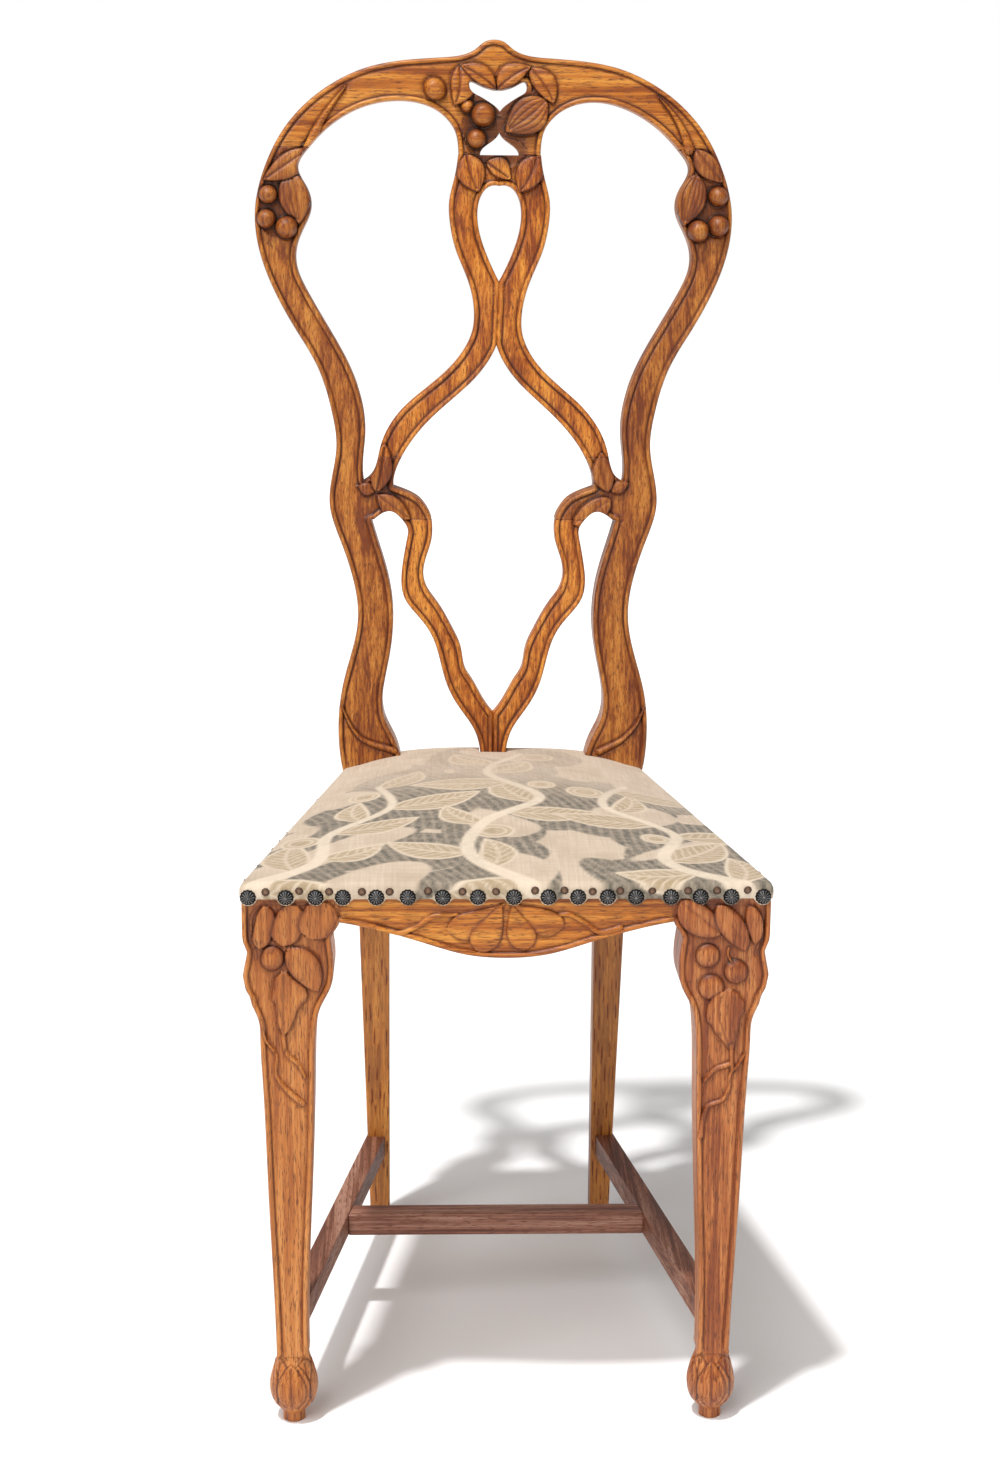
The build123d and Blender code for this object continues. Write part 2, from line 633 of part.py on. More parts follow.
with BuildPart() as right_back_post:
    add(back_post_blank.part)
    side_tenon_bar(joint_clearance, Mode.SUBTRACT)
    rear_tenon_bar(joint_clearance, Mode.SUBTRACT)
    stretcher_tenon_bar(joint_clearance, Mode.SUBTRACT)
    dowel_holes(crest_dowel_places, dowel_radius, dowel_length)
    dowel_holes(rib_dowel_places, rib_dowel_radius, rib_dowel_length)

# Crest, upper ribs and lower ribs
with BuildPart() as crest_rail:
    with BuildSketch(Plane.XZ):
        draw_stile()
        keep(0, rail_reach, bridge_joint_z, crest_tip_z)
        with Locations((back_x(lobe_middle), 0)):
            Rectangle(rail_reach, 2 * crest_joint_z, align=(Align.MIN, Align.CENTER), mode=Mode.SUBTRACT)
        with BuildLine():
            Spline(*[back_point(*p) for p in crest_piercing])
            Line(back_point(*crest_piercing[-1]), back_point(*crest_piercing[0]))
        make_face(mode=Mode.SUBTRACT)
        with BuildLine():
            Spline(*[back_point(*p) for p in crest_notch])
            Polyline(
                back_point(*crest_notch[-1]), back_point(0, crest_notch[0][1]), back_point(*crest_notch[0]))
        make_face(mode=Mode.SUBTRACT)
        mirror(about=Plane.YZ)
    extrude(amount=rail_reach, both=True)
    with BuildSketch(Plane.YZ):
        draw_side_view(back_thickness)
    extrude(amount=rail_reach, both=True, mode=Mode.INTERSECT)
    for x, y, z in crest_dowel_places:
        dowel_holes([(x, y, z), (-x, y, z)], dowel_radius, dowel_length)

with BuildPart() as right_upper_rib:
    with BuildSketch(Plane.XZ):
        draw_rib()
        keep(0, rail_reach, branch_joint_z, bridge_joint_z)
    extrude(amount=rail_reach, both=True)
    with BuildSketch(Plane.YZ):
        draw_side_view(rib_thickness)
    extrude(amount=rail_reach, both=True, mode=Mode.INTERSECT)
    dowel_holes(crest_dowel_places, dowel_radius, dowel_length)
    dowel_holes(rib_dowel_places, rib_dowel_radius, rib_dowel_length)

with BuildPart() as right_lower_rib:
    with BuildSketch(Plane.XZ):
        draw_rib()
        keep(0, back_x(arch_middle), rail_top, arch_joint_z)
    extrude(amount=rail_reach, both=True)
    with BuildSketch(Plane.YZ):
        draw_side_view(rib_thickness)
    extrude(amount=rail_reach, both=True, mode=Mode.INTERSECT)
    with Locations((0, stem_tenon_y, rail_top)):
        Box(stem_tenon_width, tenon_thickness, stem_tenon_length, align=(Align.MIN, Align.CENTER, Align.MAX))
    dowel_holes(rib_dowel_places, rib_dowel_radius, rib_dowel_length)

# Dowels
with BuildPart() as crest_dowels:
    for x, y, z in crest_dowel_places:
        with Locations((x, y, z), (-x, y, z)):
            Cylinder(dowel_radius, dowel_length)

with BuildPart() as rib_dowels:
    for x, y, z in rib_dowel_places:
        with Locations((x, y, z), (-x, y, z)):
            Cylinder(rib_dowel_radius, rib_dowel_length)

# Corner blocks and their screws
with BuildPart() as right_front_block:
    corner = (side_x(front_y + rail_thickness), front_y + rail_thickness)
    behind = inner_side.from_local_coords((leg_block_depth + block_reach, 0, 0))
    with BuildSketch(Plane.XY.offset(block_top - block_height)):
        with BuildLine():
            Polyline((apron_shoulder - block_reach, corner[1]), corner, (behind.X, behind.Y), close=True)
        make_face()
    extrude(amount=block_height)
    add(front_leg_blank.part, mode=Mode.SUBTRACT)
    outside_side(rail_thickness)
    screw_holes([front_screw, side_screws[0]])

with BuildPart() as right_rear_block:
    corner = inner_side.from_local_coords((side_length, 0, 0))
    ahead = inner_side.from_local_coords((side_length - block_reach, 0, 0))
    with BuildSketch(Plane.XY.offset(block_top - block_height)):
        with BuildLine():
            Polyline(
                (back_x(rear_leg_inner) - block_reach, post_y), (corner.X, post_y), (ahead.X, ahead.Y),
                close=True)
        make_face()
    extrude(amount=block_height)
    outside_side(rail_thickness)
    screw_holes([rear_screw, side_screws[1]])

with BuildPart() as block_screws:
    with Locations(*[Location(place) for place in screw_places + [across(place) for place in screw_places]]):
        with Locations((0, 0, (screw_grip - screw_bite) / 2)):
            Cylinder(screw_radius, screw_grip + screw_bite)
        with Locations((0, 0, screw_grip)):
            Cylinder(screw_head_radius, screw_head_height, align=(Align.CENTER, Align.CENTER, Align.MIN))

# Upholstery
hessian_bottom = cross_strap_z + webbing_thickness + webbing_tack_head + joint_clearance
hessian_top = hessian_bottom + hessian_thickness


def seat_half(y, grow):
    """Half the seat's width, with its sides moved out by a distance."""
    return side_x(y) + grow * side_run.length / side_run.Y


def seat_plan(grow):
    """Corners of the seat seen from above, with its edges moved out by a distance."""
    front, rear = front_y - grow, rear_rail_back + grow
    return [
        (-seat_half(front, grow), front), (seat_half(front, grow), front),
        (seat_half(rear, grow), rear), (-seat_half(rear, grow), rear)]


def pad_form(grow):
    """The crowned pad above the rails, with its surface moved out by a distance."""
    sections = []
    top = rail_top + pad_edge + grow
    for share, crown in pad_crowns:
        y = front_y - grow + share * (rear_rail_back - front_y + 2 * grow)
        half = seat_half(y, grow)
        with BuildSketch(Plane(origin=(0, y, 0), x_dir=(1, 0, 0), z_dir=(0, -1, 0))) as section:
            with BuildLine() as outline:
                Polyline((-half, top), (-half, rail_top), (half, rail_top), (half, top))
                ThreePointArc((half, top), (0, top + crown), (-half, top))
            make_face(outline.edges())
        sections.append(section.sketch)
    with BuildPart() as form:
        loft(sections)
        upper = form.edges().filter_by(lambda edge: edge.center().Z > top - pad_round / 2)
        fillet(upper, pad_round + grow)
    return form.part


def seat_layer(grow, bottom, top, mode=Mode.ADD):
    """A flat layer with the seat's outline."""
    with BuildSketch(Plane.XY.offset(bottom)) as plan:
        Polygon(*seat_plan(grow), align=None)
    extrude(plan.sketch, amount=top - bottom, mode=mode)


def seat_notches(gap):
    """Cuts the current layer clear of the back posts and of the ribs' stem."""
    deep = (Align.MIN, Align.MIN, Align.CENTER)
    with Locations((post_flare - gap, post_y - gap, rail_top)):
        Box(rail_reach, rail_reach, rail_reach, align=deep, mode=Mode.SUBTRACT)
    with Locations((gap - post_flare - rail_reach, post_y - gap, rail_top)):
        Box(rail_reach, rail_reach, rail_reach, align=deep, mode=Mode.SUBTRACT)
    with Locations((-stem_half - gap, post_y - gap, rail_top)):
        Box(2 * (stem_half + gap), rail_reach, rail_reach, align=deep, mode=Mode.SUBTRACT)


with BuildPart() as lengthwise_webbing:
    with Locations((-webbing_spread, strap_ends[0], rail_top), (webbing_spread, strap_ends[0], rail_top)):
        Box(webbing_width, strap_ends[1] - strap_ends[0], webbing_thickness,
            align=(Align.CENTER, Align.MIN, Align.MIN))
    tack_holes(front_strap_tacks + rear_strap_tacks)

with BuildPart() as crosswise_webbing:
    for y in cross_strap_ys:
        with Locations((0, y, cross_strap_z)):
            Box(2 * cross_strap_half(y), webbing_width, webbing_thickness,
                align=(Align.CENTER, Align.CENTER, Align.MIN))
    tack_holes(side_strap_tacks + [across(place) for place in side_strap_tacks])

with BuildPart() as seat_hessian:
    seat_layer(-hessian_inset, hessian_bottom, hessian_top)
    seat_notches(cover_clearance)

with BuildPart() as seat_stuffing:
    add(pad_form(0))
    seat_layer(rail_thickness, rail_top - pad_edge, hessian_top + joint_clearance, Mode.SUBTRACT)
    seat_notches(cover_clearance)

with BuildPart() as seat_cover:
    seat_layer(cover_reach, skirt_bottom, rail_top)
    add(pad_form(cover_reach))
    seat_layer(cover_clearance, skirt_bottom, rail_top, Mode.SUBTRACT)
    add(pad_form(cover_clearance), mode=Mode.SUBTRACT)
    seat_notches(cover_clearance)
    nail_holes(nail_places)
    tack_holes(tack_places)


def draw_nail(radius, dome, shank_radius, shank_length):
    """Half section of a domed nail or tack, its head resting at zero."""
    with BuildLine() as outline:
        Polyline((0, dome), (0, -shank_length), (shank_radius, -shank_length), (shank_radius, 0), (radius, 0))
        TangentArc((0, dome), (radius, 0), tangent=(1, 0))
    make_face(outline.edges())


with BuildPart() as nail:
    with BuildSketch(Plane.XZ):
        draw_nail(nail_radius, nail_dome, nail_shank_radius, nail_shank_length)
    revolve(axis=Axis.Z)

with BuildPart() as tack:
    with BuildSketch(Plane.XZ):
        draw_nail(tack_radius, tack_dome, tack_shank_radius, tack_shank_length)
    revolve(axis=Axis.Z)

with BuildPart() as webbing_tack:
    Cylinder(webbing_tack_radius, webbing_tack_head, align=(Align.CENTER, Align.CENTER, Align.MIN))
    Cylinder(tack_shank_radius, tack_shank_length, align=(Align.CENTER, Align.CENTER, Align.MAX))

with BuildPart() as decorative_nails:
    with Locations(*[Location(place) for place in nail_places]):
        add(nail.part)

with BuildPart() as seat_tacks:
    with Locations(*[Location(place) for place in tack_places]):
        add(tack.part)

with BuildPart() as webbing_tacks:
    strap_tacks = front_strap_tacks + rear_strap_tacks + side_strap_tacks
    strap_tacks += [across(place) for place in side_strap_tacks]
    with Locations(*[Location(place) for place in strap_tacks]):
        add(webbing_tack.part)

os.makedirs("parts", exist_ok=True)
pieces = {
    "right_front_leg": right_front_leg,
    "left_front_leg": left_front_leg,
    "right_back_post": right_back_post,
    "left_back_post": mirrored(right_back_post),
    "crest_rail": crest_rail,
    "right_upper_rib": right_upper_rib,
    "left_upper_rib": mirrored(right_upper_rib),
    "right_lower_rib": right_lower_rib,
    "left_lower_rib": mirrored(right_lower_rib),
    "front_seat_rail": front_seat_rail,
    "right_seat_rail": right_seat_rail,
    "left_seat_rail": mirrored(right_seat_rail),
    "rear_seat_rail": rear_seat_rail,
    "right_side_stretcher": right_side_stretcher,
    "left_side_stretcher": mirrored(right_side_stretcher),
    "cross_stretcher": cross_stretcher,
    "right_front_block": right_front_block,
    "left_front_block": mirrored(right_front_block),
    "right_rear_block": right_rear_block,
    "left_rear_block": mirrored(right_rear_block),
    "block_screws": block_screws,
    "crest_dowels": crest_dowels,
    "rib_dowels": rib_dowels,
    "lengthwise_webbing": lengthwise_webbing,
    "crosswise_webbing": crosswise_webbing,
    "webbing_tacks": webbing_tacks,
    "seat_hessian": seat_hessian,
    "seat_stuffing": seat_stuffing,
    "seat_cover": seat_cover,
    "decorative_nails": decorative_nails,
    "seat_tacks": seat_tacks,
}
for name, piece in pieces.items():
    piece.part.label = name
    export_step(piece.part, f"parts/{name}.step")
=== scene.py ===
import math

import bmesh
import bpy
import numpy as np
from mathutils import Matrix, Vector
from mathutils.geometry import delaunay_2d_cdt
from mathutils.kdtree import KDTree


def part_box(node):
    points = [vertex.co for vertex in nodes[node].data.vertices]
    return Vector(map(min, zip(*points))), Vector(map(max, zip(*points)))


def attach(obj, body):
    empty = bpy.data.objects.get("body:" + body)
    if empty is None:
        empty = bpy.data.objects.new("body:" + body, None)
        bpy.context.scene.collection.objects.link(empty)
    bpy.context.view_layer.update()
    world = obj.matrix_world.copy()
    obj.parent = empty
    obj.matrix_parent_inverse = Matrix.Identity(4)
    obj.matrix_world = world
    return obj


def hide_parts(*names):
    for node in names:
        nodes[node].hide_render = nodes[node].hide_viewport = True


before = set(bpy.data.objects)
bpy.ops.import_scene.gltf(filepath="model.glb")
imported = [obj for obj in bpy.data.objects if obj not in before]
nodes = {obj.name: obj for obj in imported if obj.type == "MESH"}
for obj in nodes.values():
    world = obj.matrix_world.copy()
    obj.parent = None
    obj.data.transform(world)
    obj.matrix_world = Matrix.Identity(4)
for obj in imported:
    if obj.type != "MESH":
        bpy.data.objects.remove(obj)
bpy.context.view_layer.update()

# Back posts. Each rear leg and its stile is one piece of walnut, bandsawn to its curve and carved on
# the front: a bead along both edges, a spray of leaves and berries at the top, a leaf at the branch.
# They are tenoned for the rails and dowelled to the crest, then stained and waxed.
mm = 0.001
weld = 1e-6                # metres, points of a CAD mesh this close are one
mesh_step, back_step = 1.25, 9.0
bead_rows = (0.6, 1.2, 1.8, 2.4, 3.0, 3.6, 4.1, 4.6, 5.2, 6.0, 7.2)
back_rows = (0.9, 2.4)
side_row = 0.9             # first row down the sawn sides
sliver = 1e-4              # mm2, triangles along a straight rim that have no width
bead_width = 4.6
edge_drop = 2.6            # bead's rounding at the sawn edge
groove_depth = 2.6
field_depth = 1.5          # flat ground below the bead's crest
field_ease = 2.6
tool_marks = 0.1
proud_most, proud_reach = 9.5, 7.0      # highest carving, and how far from the edge it gets there
deepest_cut = 4.2
# The cut round a motif and the ground beside it are darkened by dirt and painted shade.
cut_width, cut_depth, cut_dirt_and_shade = 1.1, 0.9, 0.8         # the line cut round a motif
near_width, near_depth, near_dirt_and_shade = 2.2, 0.8, 0.34     # the ground beside it
# Bead: painted highlight and wear along its ridge, painted shade down its sides; the groove and the ground
# beside it are darkened by dirt and painted shade.
bead_highlight_and_wear, groove_dirt_and_shade, ground_dirt_and_shade = 0.75, 0.95, 0.3
joint_groove, joint_width, joint_dark = 0.15, 0.55, 0.25
back_round = (1.6, 2.2)    # depth and reach of the plain back's rounded edges
leg_round = (1.3, 1.8)     # the same on the plain rear legs
plain_zone = (452, 476)    # the posts are plain below the seat
plain_tone = 0.5           # rear legs are rubbed paler than the carving
lane_gap, lane_dark = 3.9, 1.35         # open grain on the rear legs, in short dark lines
groove_width, ground_fade = 0.9, 2.5    # how far the darkening, stain and painted shade, spreads from the groove
# Midribs and veins are cut in and darkened by dirt and painted shade.
midrib_width, midrib_depth, midrib_dirt_and_shade = 1.1, 1.3, 0.5
vein_width, vein_depth, vein_dirt_and_shade = 0.8, 0.8, 0.5
trace_step, trace_side = 0.9, 0.5       # mesh points along and beside a motif's outline
row_share = 0.96           # a row's points are kept where no other edge is nearer than this
row_height, grid_share = 0.866, 0.62    # rows of the even grid, and its least gap to other points
far_off = 99.0
# Old wax and dirt darken the sprays: middle, reach across and up, and how much.
patina = [((0, 1040), 46, 44, 0.3), ((-195, 976), 34, 54, 0.14), ((195, 976), 34, 54, 0.14),
          ((-106, 716), 26, 44, 0.14), ((106, 714), 26, 42, 0.14),
          ((-168, 410), 48, 52, 0.14), ((168, 410), 48, 52, 0.14)]
rib_seam_top, branch_height, seam_reach = 985, 715, 9


def linear(colour):
    """An sRGB hex colour as linear RGBA."""
    parts = [int(colour[i:i + 2], 16) / 255 for i in (1, 3, 5)]
    return tuple(c / 12.92 if c <= 0.04045 else ((c + 0.055) / 1.055) ** 2.4 for c in parts) + (1.0,)


def feed(tree, node, inputs):
    """Sets or links a node's inputs."""
    for key, value in inputs.items():
        if isinstance(value, bpy.types.NodeSocket):
            tree.links.new(value, node.inputs[key])
        else:
            node.inputs[key].default_value = value


def add(tree, kind, inputs=None, stops=(), **settings):
    """Adds a node with its settings, its inputs and a ramp's colour stops, ends first; gives its outputs."""
    node = tree.nodes.new(kind)
    for key, value in settings.items():
        setattr(node, key, value)
    feed(tree, node, inputs or {})
    for n, (place, colour) in enumerate(stops):
        stop = node.color_ramp.elements[n] if n < 2 else node.color_ramp.elements.new(place)
        stop.position, stop.color = place, linear(colour)
    return node.outputs


def new_material(name):
    """A material, its node tree and its shader."""
    material = bpy.data.materials.new(name)
    material.use_nodes = True
    return material, material.node_tree, material.node_tree.nodes["Principled BSDF"]


def waxed_walnut(name, dark, middle, light, turn=(0, 0, 0), shift=(0, 0, 0), gloss=0.42):
    """Walnut, planed or carved, stained and waxed: long streaks, short dark pores, a soft sheen.
    Where the carving's tone is low, the cuts are darkened by stain, dirt and painted shade; where it is high,
    the ridges are paled by wear and painted highlight."""
    finish, tree, shader = new_material(name)
    place = add(tree, "ShaderNodeTexCoord")["Object"]
    turned = add(tree, "ShaderNodeMapping", {"Vector": place, "Rotation": turn, "Location": shift})[0]
    grain_mm = {"figure": (16, 16, 300), "streak": (2.4, 2.4, 120),
                "pore": (0.9, 0.9, 10), "patch": (45, 45, 90)}
    grain = {}
    for layer, size in grain_mm.items():
        scale = tuple(1 / (s * mm) for s in size)
        scaled = add(tree, "ShaderNodeVectorMath", {0: turned, 1: scale}, operation="MULTIPLY")[0]
        grain[layer] = add(tree, "ShaderNodeTexNoise", {
            "Vector": scaled, "Scale": 1.0, "Detail": 3.0, "Roughness": 0.55, "Distortion": 0.35})[0]
    mixed = add(tree, "ShaderNodeMix", {0: 0.5, 2: grain["figure"], 3: grain["streak"]}, data_type="FLOAT")[0]
    colour = add(tree, "ShaderNodeValToRGB", {"Fac": mixed}, ((0.4, dark), (0.61, light), (0.5, middle)))[0]
    tone = add(tree, "ShaderNodeAttribute", attribute_name="tone")["Fac"]
    # Pores; ridges paled by wear and painted highlight; hollows darkened by stain and painted shade, cuts by
    # dirt and painted shade: where each begins and is full.
    layers = ((grain["pore"], 0.53, 0.65, 0.8, "#552608"), (tone, 0.1, 1.0, 0.4, "#e2a458"),
              (tone, -0.04, -0.45, 0.72, "#6f2f0e"), (tone, -0.4, -1.0, 0.92, "#260d04"))
    amounts = []
    for value, begin, full, share, tint in layers:
        amounts.append(add(tree, "ShaderNodeMapRange", {
            "Value": value, "From Min": begin, "From Max": full, "To Max": share})[0])
        colour = add(tree, "ShaderNodeMix", {0: amounts[-1], 6: colour, 7: linear(tint)}, data_type="RGBA")[2]
    sheen = add(tree, "ShaderNodeMapRange", {
        "Value": grain["patch"], "From Min": 0.3, "From Max": 0.7,
        "To Min": gloss - 0.07, "To Max": gloss + 0.1})[0]
    streaked = add(tree, "ShaderNodeBump", {"Strength": 0.35, "Distance": 0.25 * mm, "Height": mixed})[0]
    pitted = add(tree, "ShaderNodeBump", {
        "Strength": 0.4, "Distance": 0.2 * mm, "Height": amounts[0], "Normal": streaked}, invert=True)[0]
    feed(tree, shader, {
        "Base Color": colour, "Roughness": sheen, "Normal": pitted, "Specular IOR Level": 0.45})
    return finish


def welded(node):
    """A CAD node's mesh with its split points joined."""
    shape = bmesh.new()
    shape.from_mesh(nodes[node].data)
    bmesh.ops.remove_doubles(shape, verts=shape.verts, dist=weld)
    return shape


def largest_patch(shape, sign, flat, facing=0.9):
    """The largest connected patch of faces that look along sign times Y. Facets under a flat area are
    left out."""
    planes = {}
    for face in shape.faces:
        if face.normal.y * sign > facing:
            level = round(face.normal.dot(face.verts[0].co) / mm * 10)
            planes.setdefault((round(face.normal.z, 3), level), []).append(face)
    left = {f for group in planes.values() if sum(f.calc_area() for f in group) > flat for f in group}
    best, best_area = set(), 0
    while left:
        patch, heap = set(), [left.pop()]
        while heap:
            face = heap.pop()
            patch.add(face)
            near = {f for e in face.edges for f in e.link_faces if f in left}
            left -= near
            heap.extend(near)
        area = sum(f.calc_area() for f in patch)
        if area > best_area:
            best, best_area = patch, area
    return best


def loops(follow):
    """Closed lines of points; follow lists what comes after each point."""
    lines = []
    while follow:
        line, at = [], next(iter(follow))
        while at in follow:
            line.append(at)
            ahead = follow[at].pop()
            if not follow[at]:
                del follow[at]
            at = ahead
        lines.append(line)
    return lines


def border(shape, patch, axis):
    """The outlines of a patch of faces, in mm: x, and the other axis given."""
    follow = {}
    for face in (f for f in shape.faces if f in patch):
        for loop in face.loops:
            if sum(f in patch for f in loop.edge.link_faces) == 1:
                follow.setdefault(loop.vert, []).append(loop.link_loop_next.vert)
    return [np.array([(v.co.x / mm, v.co[axis] / mm) for v in line]) for line in loops(follow)]


def length_of(line):
    """Length round a closed outline."""
    return np.hypot(*(np.roll(line, -1, 0) - line).T).sum()


def front_of(node, piercing=0.0, flat=0.0):
    """A piece's outlines seen from the front, x and z, and its front and back depth by height, in mm.
    Inner outlines are kept if they are longer than piercing, where it is given."""
    shape = welded(node)
    depth = []
    for sign in (1, -1):
        patch = largest_patch(shape, sign, flat)
        level = {round(v.co.z / mm, 2): v.co.y / mm for face in patch for v in face.verts}
        heights = sorted(level)
        depth.append((np.array(heights), np.array([level[h] for h in heights])))
    outlines = sorted(border(shape, patch, 2), key=lambda line: -length_of(line))
    shape.free()
    kept = [outlines[0]] + [line for line in outlines[1:] if piercing and length_of(line) > piercing]
    return kept, depth[1], depth[0]


def smooth_line(points, step):
    """A curve through the points, at even steps."""
    points = np.asarray(points, float)
    run = np.concatenate([[0], np.cumsum(np.hypot(*np.diff(points, axis=0).T))])
    count = max(2, int(round(run[-1] / step)) + 1)
    where = np.linspace(0, run[-1], count)
    if len(points) < 3:
        return np.column_stack([np.interp(where, run, points[:, i]) for i in (0, 1)])
    slope = np.gradient(points, run, axis=0)
    i = np.clip(np.searchsorted(run, where, side="right") - 1, 0, len(run) - 2)
    gap = (run[i + 1] - run[i])[:, None]
    t = (where - run[i])[:, None] / gap
    return ((2 * t**3 - 3 * t**2 + 1) * points[i] + (t**3 - 2 * t**2 + t) * gap * slope[i]
            + (3 * t**2 - 2 * t**3) * points[i + 1] + (t**3 - t**2) * gap * slope[i + 1])


def even_outline(line, step, corner=math.radians(35), least=0.05):
    """A closed outline at even steps, smoothed between its corners."""
    line = line[np.hypot(*(np.roll(line, -1, 0) - line).T) > least]
    ahead = np.roll(line, -1, 0) - line
    angle = np.arctan2(ahead[:, 1], ahead[:, 0])
    turn = np.abs((angle - np.roll(angle, 1) + np.pi) % (2 * np.pi) - np.pi)
    corners = np.flatnonzero(turn > corner)
    if len(corners) == 0:
        corners = np.array([0])
    ends = np.append(corners[1:], corners[0] + len(line))
    return np.concatenate([smooth_line(line[np.arange(a, b + 1) % len(line)], step)[:-1]
                           for a, b in zip(corners, ends)])


def segments_of(lines):
    """Both ends of each step along closed lines."""
    return np.concatenate([np.stack([line, np.roll(line, -1, 0)], 1) for line in lines])


def tree_of(points):
    """A search tree of points in a plane."""
    tree = KDTree(len(points))
    for i, (x, z) in enumerate(points):
        tree.insert((x, z, 0), i)
    tree.balance()
    return tree


def distance(points, segments, tried=4):
    """Distance from each point to the nearest segment. They are short, so the nearest middles are tried."""
    if not len(points):
        return np.zeros(0)
    a, b = segments[:, 0], segments[:, 1]
    tree = tree_of((a + b) / 2)
    near = np.array([[hit[1] for hit in tree.find_n((x, z, 0), min(tried, len(a)))] for x, z in points], int)
    run = (b - a)[near]
    off = points[:, None] - a[near]
    t = np.clip((off * run).sum(2) / np.maximum((run**2).sum(2), 1e-9), 0, 1)
    return np.sqrt(((off - t[..., None] * run)**2).sum(2).min(1))


def inside(points, outlines, band=2.0):
    """True where a point lies within the outlines, their piercings left out."""
    a, b = segments_of(outlines).transpose(1, 0, 2)
    first = np.floor(np.minimum(a[:, 1], b[:, 1]) / band).astype(int)
    last = np.floor(np.maximum(a[:, 1], b[:, 1]) / band).astype(int)
    bands = {}
    for i in range(len(a)):
        for n in range(first[i], last[i] + 1):
            bands.setdefault(n, []).append(i)
    within = np.zeros(len(points), bool)
    rows = np.floor(points[:, 1] / band).astype(int)
    order = np.argsort(rows, kind="stable")
    for group in np.split(order, np.flatnonzero(np.diff(rows[order])) + 1):
        if len(group) and rows[group[0]] in bands:
            near = bands[rows[group[0]]]
            p, q = a[near], b[near]
            x, z = points[group, :1], points[group, 1:]
            spans = (p[:, 1] > z) != (q[:, 1] > z)
            rise = np.where(q[:, 1] == p[:, 1], 1, q[:, 1] - p[:, 1])
            at = p[:, 0] + (z - p[:, 1]) * (q[:, 0] - p[:, 0]) / rise
            within[group] = (spans & (x < at)).sum(1) % 2 == 1
    return within


def rims_of(fronts):
    """Each piece's outlines at even steps."""
    return {node: [even_outline(line, mesh_step) for line in front[0]] for node, front in fronts.items()}


def sort_edges(rims, reach=0.8):
    """Segments of all the outlines, the free ones and the ones with another piece within reach."""
    free, joint = [], []
    for node, lines in rims.items():
        for line in lines:
            ahead = np.roll(line, -1, 0)
            run = ahead - line
            out = np.column_stack([run[:, 1], -run[:, 0]]) / np.hypot(*run.T)[:, None]
            meets = np.zeros(len(line), bool)
            for other, outlines in rims.items():
                if other != node:
                    meets |= inside((line + ahead) / 2 + out * reach, outlines)
            segments = segments_of([line])
            free.append(segments[~meets])
            joint.append(segments[meets])
    return np.concatenate(free), np.concatenate(joint)


def smoothstep(value, low, high):
    t = np.clip((value - low) / (high - low), 0, 1)
    return t * t * (3 - 2 * t)


def quarter(d, radius):
    """0 at an edge rising as a quarter circle to 1 at radius."""
    return np.sqrt(np.clip(1 - (1 - np.clip(d / radius, 0, 1))**2, 0, 1))


def uneven(x, z, a, b, c, d, bend=(2, 2)):
    """A smooth uneven pattern between -1 and 1, as hand work and wear leave it."""
    return np.sin(x * a + bend[0] * np.sin(z * b)) * np.sin(z * c + bend[1] * np.sin(x * d))


def leaf_place(x, z, base, along, length, bend):
    """Where points lie on a leaf: share of its length, distance left of its midrib and past its ends."""
    u = ((x - base[0]) * along[0] + (z - base[1]) * along[1]) / length
    v = (z - base[1]) * along[0] - (x - base[0]) * along[1] - bend * 4 * u * (1 - u)
    return u, v, np.maximum(np.maximum(-u, u - 1), 0) * length


def leaf(base, tip, left=0, right=0, bend=0.0, rise=4.8, widest=0.45, veins=(), blunt=0.8, rib=1.0,
         shape=None):
    """A carved leaf: left and right are its half widths seen on the way from base to tip, or shape lists
    rows of share of the length, left and right. Each half swells between the midrib and the edge. Its tone
    is a painted highlight on each swell and painted shade at the midrib, the veins and the edge."""
    base, tip = np.array(base, float), np.array(tip, float)
    length = math.dist(base, tip)
    along = (tip - base) / length
    across = np.array([-along[1], along[0]])
    power = math.log(0.5) / math.log(widest)

    def half_width(u, side):
        u = np.clip(u, 0, 1)
        if shape:
            share, to_left, to_right = zip(*shape)
            return np.where(side > 0, np.interp(u, share, to_left), np.interp(u, share, to_right))
        return np.where(side > 0, left, right) * np.sin(np.pi * u**power)**blunt

    def field(x, z):
        u, v, beyond = leaf_place(x, z, base, along, length, bend)
        half = half_width(u, v)
        depth = np.where(beyond > 0, -np.hypot(beyond, v), (half - np.abs(v)) * 0.85)
        share = np.clip(v / np.maximum(half, 0.3), -1, 1)
        midrib = rib * np.exp(-(v / midrib_width)**2) * (u < 0.92)
        swell = np.sqrt(np.clip(1 - (1.25 * np.abs(share) - 0.5)**2, 0, 1))
        arch = 0.75 + 0.25 * np.sin(np.pi * np.clip(u, 0, 1))
        height = rise * (0.3 + 0.7 * swell) * arch - midrib_depth * midrib
        # Tone: painted highlight on the swell, painted shade at the edge; the midrib and veins are darkened
        # by dirt and painted shade.
        line = 0.42 * swell - 0.4 - 0.3 * np.abs(share)**6 - midrib_dirt_and_shade * midrib
        for vein in veins:
            cut = np.exp(-((share - vein) * half / vein_width)**2) * (u > 0.08) * (u < 0.9)
            height = height - vein_depth * cut
            line = line - vein_dirt_and_shade * cut
        return depth, height, line

    def trace():
        u = np.linspace(0.01, 0.99, max(8, int(length / trace_step)))
        points = []
        for side in (1, -1):
            half = half_width(u, side)
            for v in (half + trace_side, half, half - trace_side, half * 0, half * 0 + 2 * trace_side):
                off = side * v + bend * 4 * u * (1 - u)
                points.append(base + np.outer(u * length, along) + np.outer(off, across))
        return np.concatenate(points)
    return field, trace


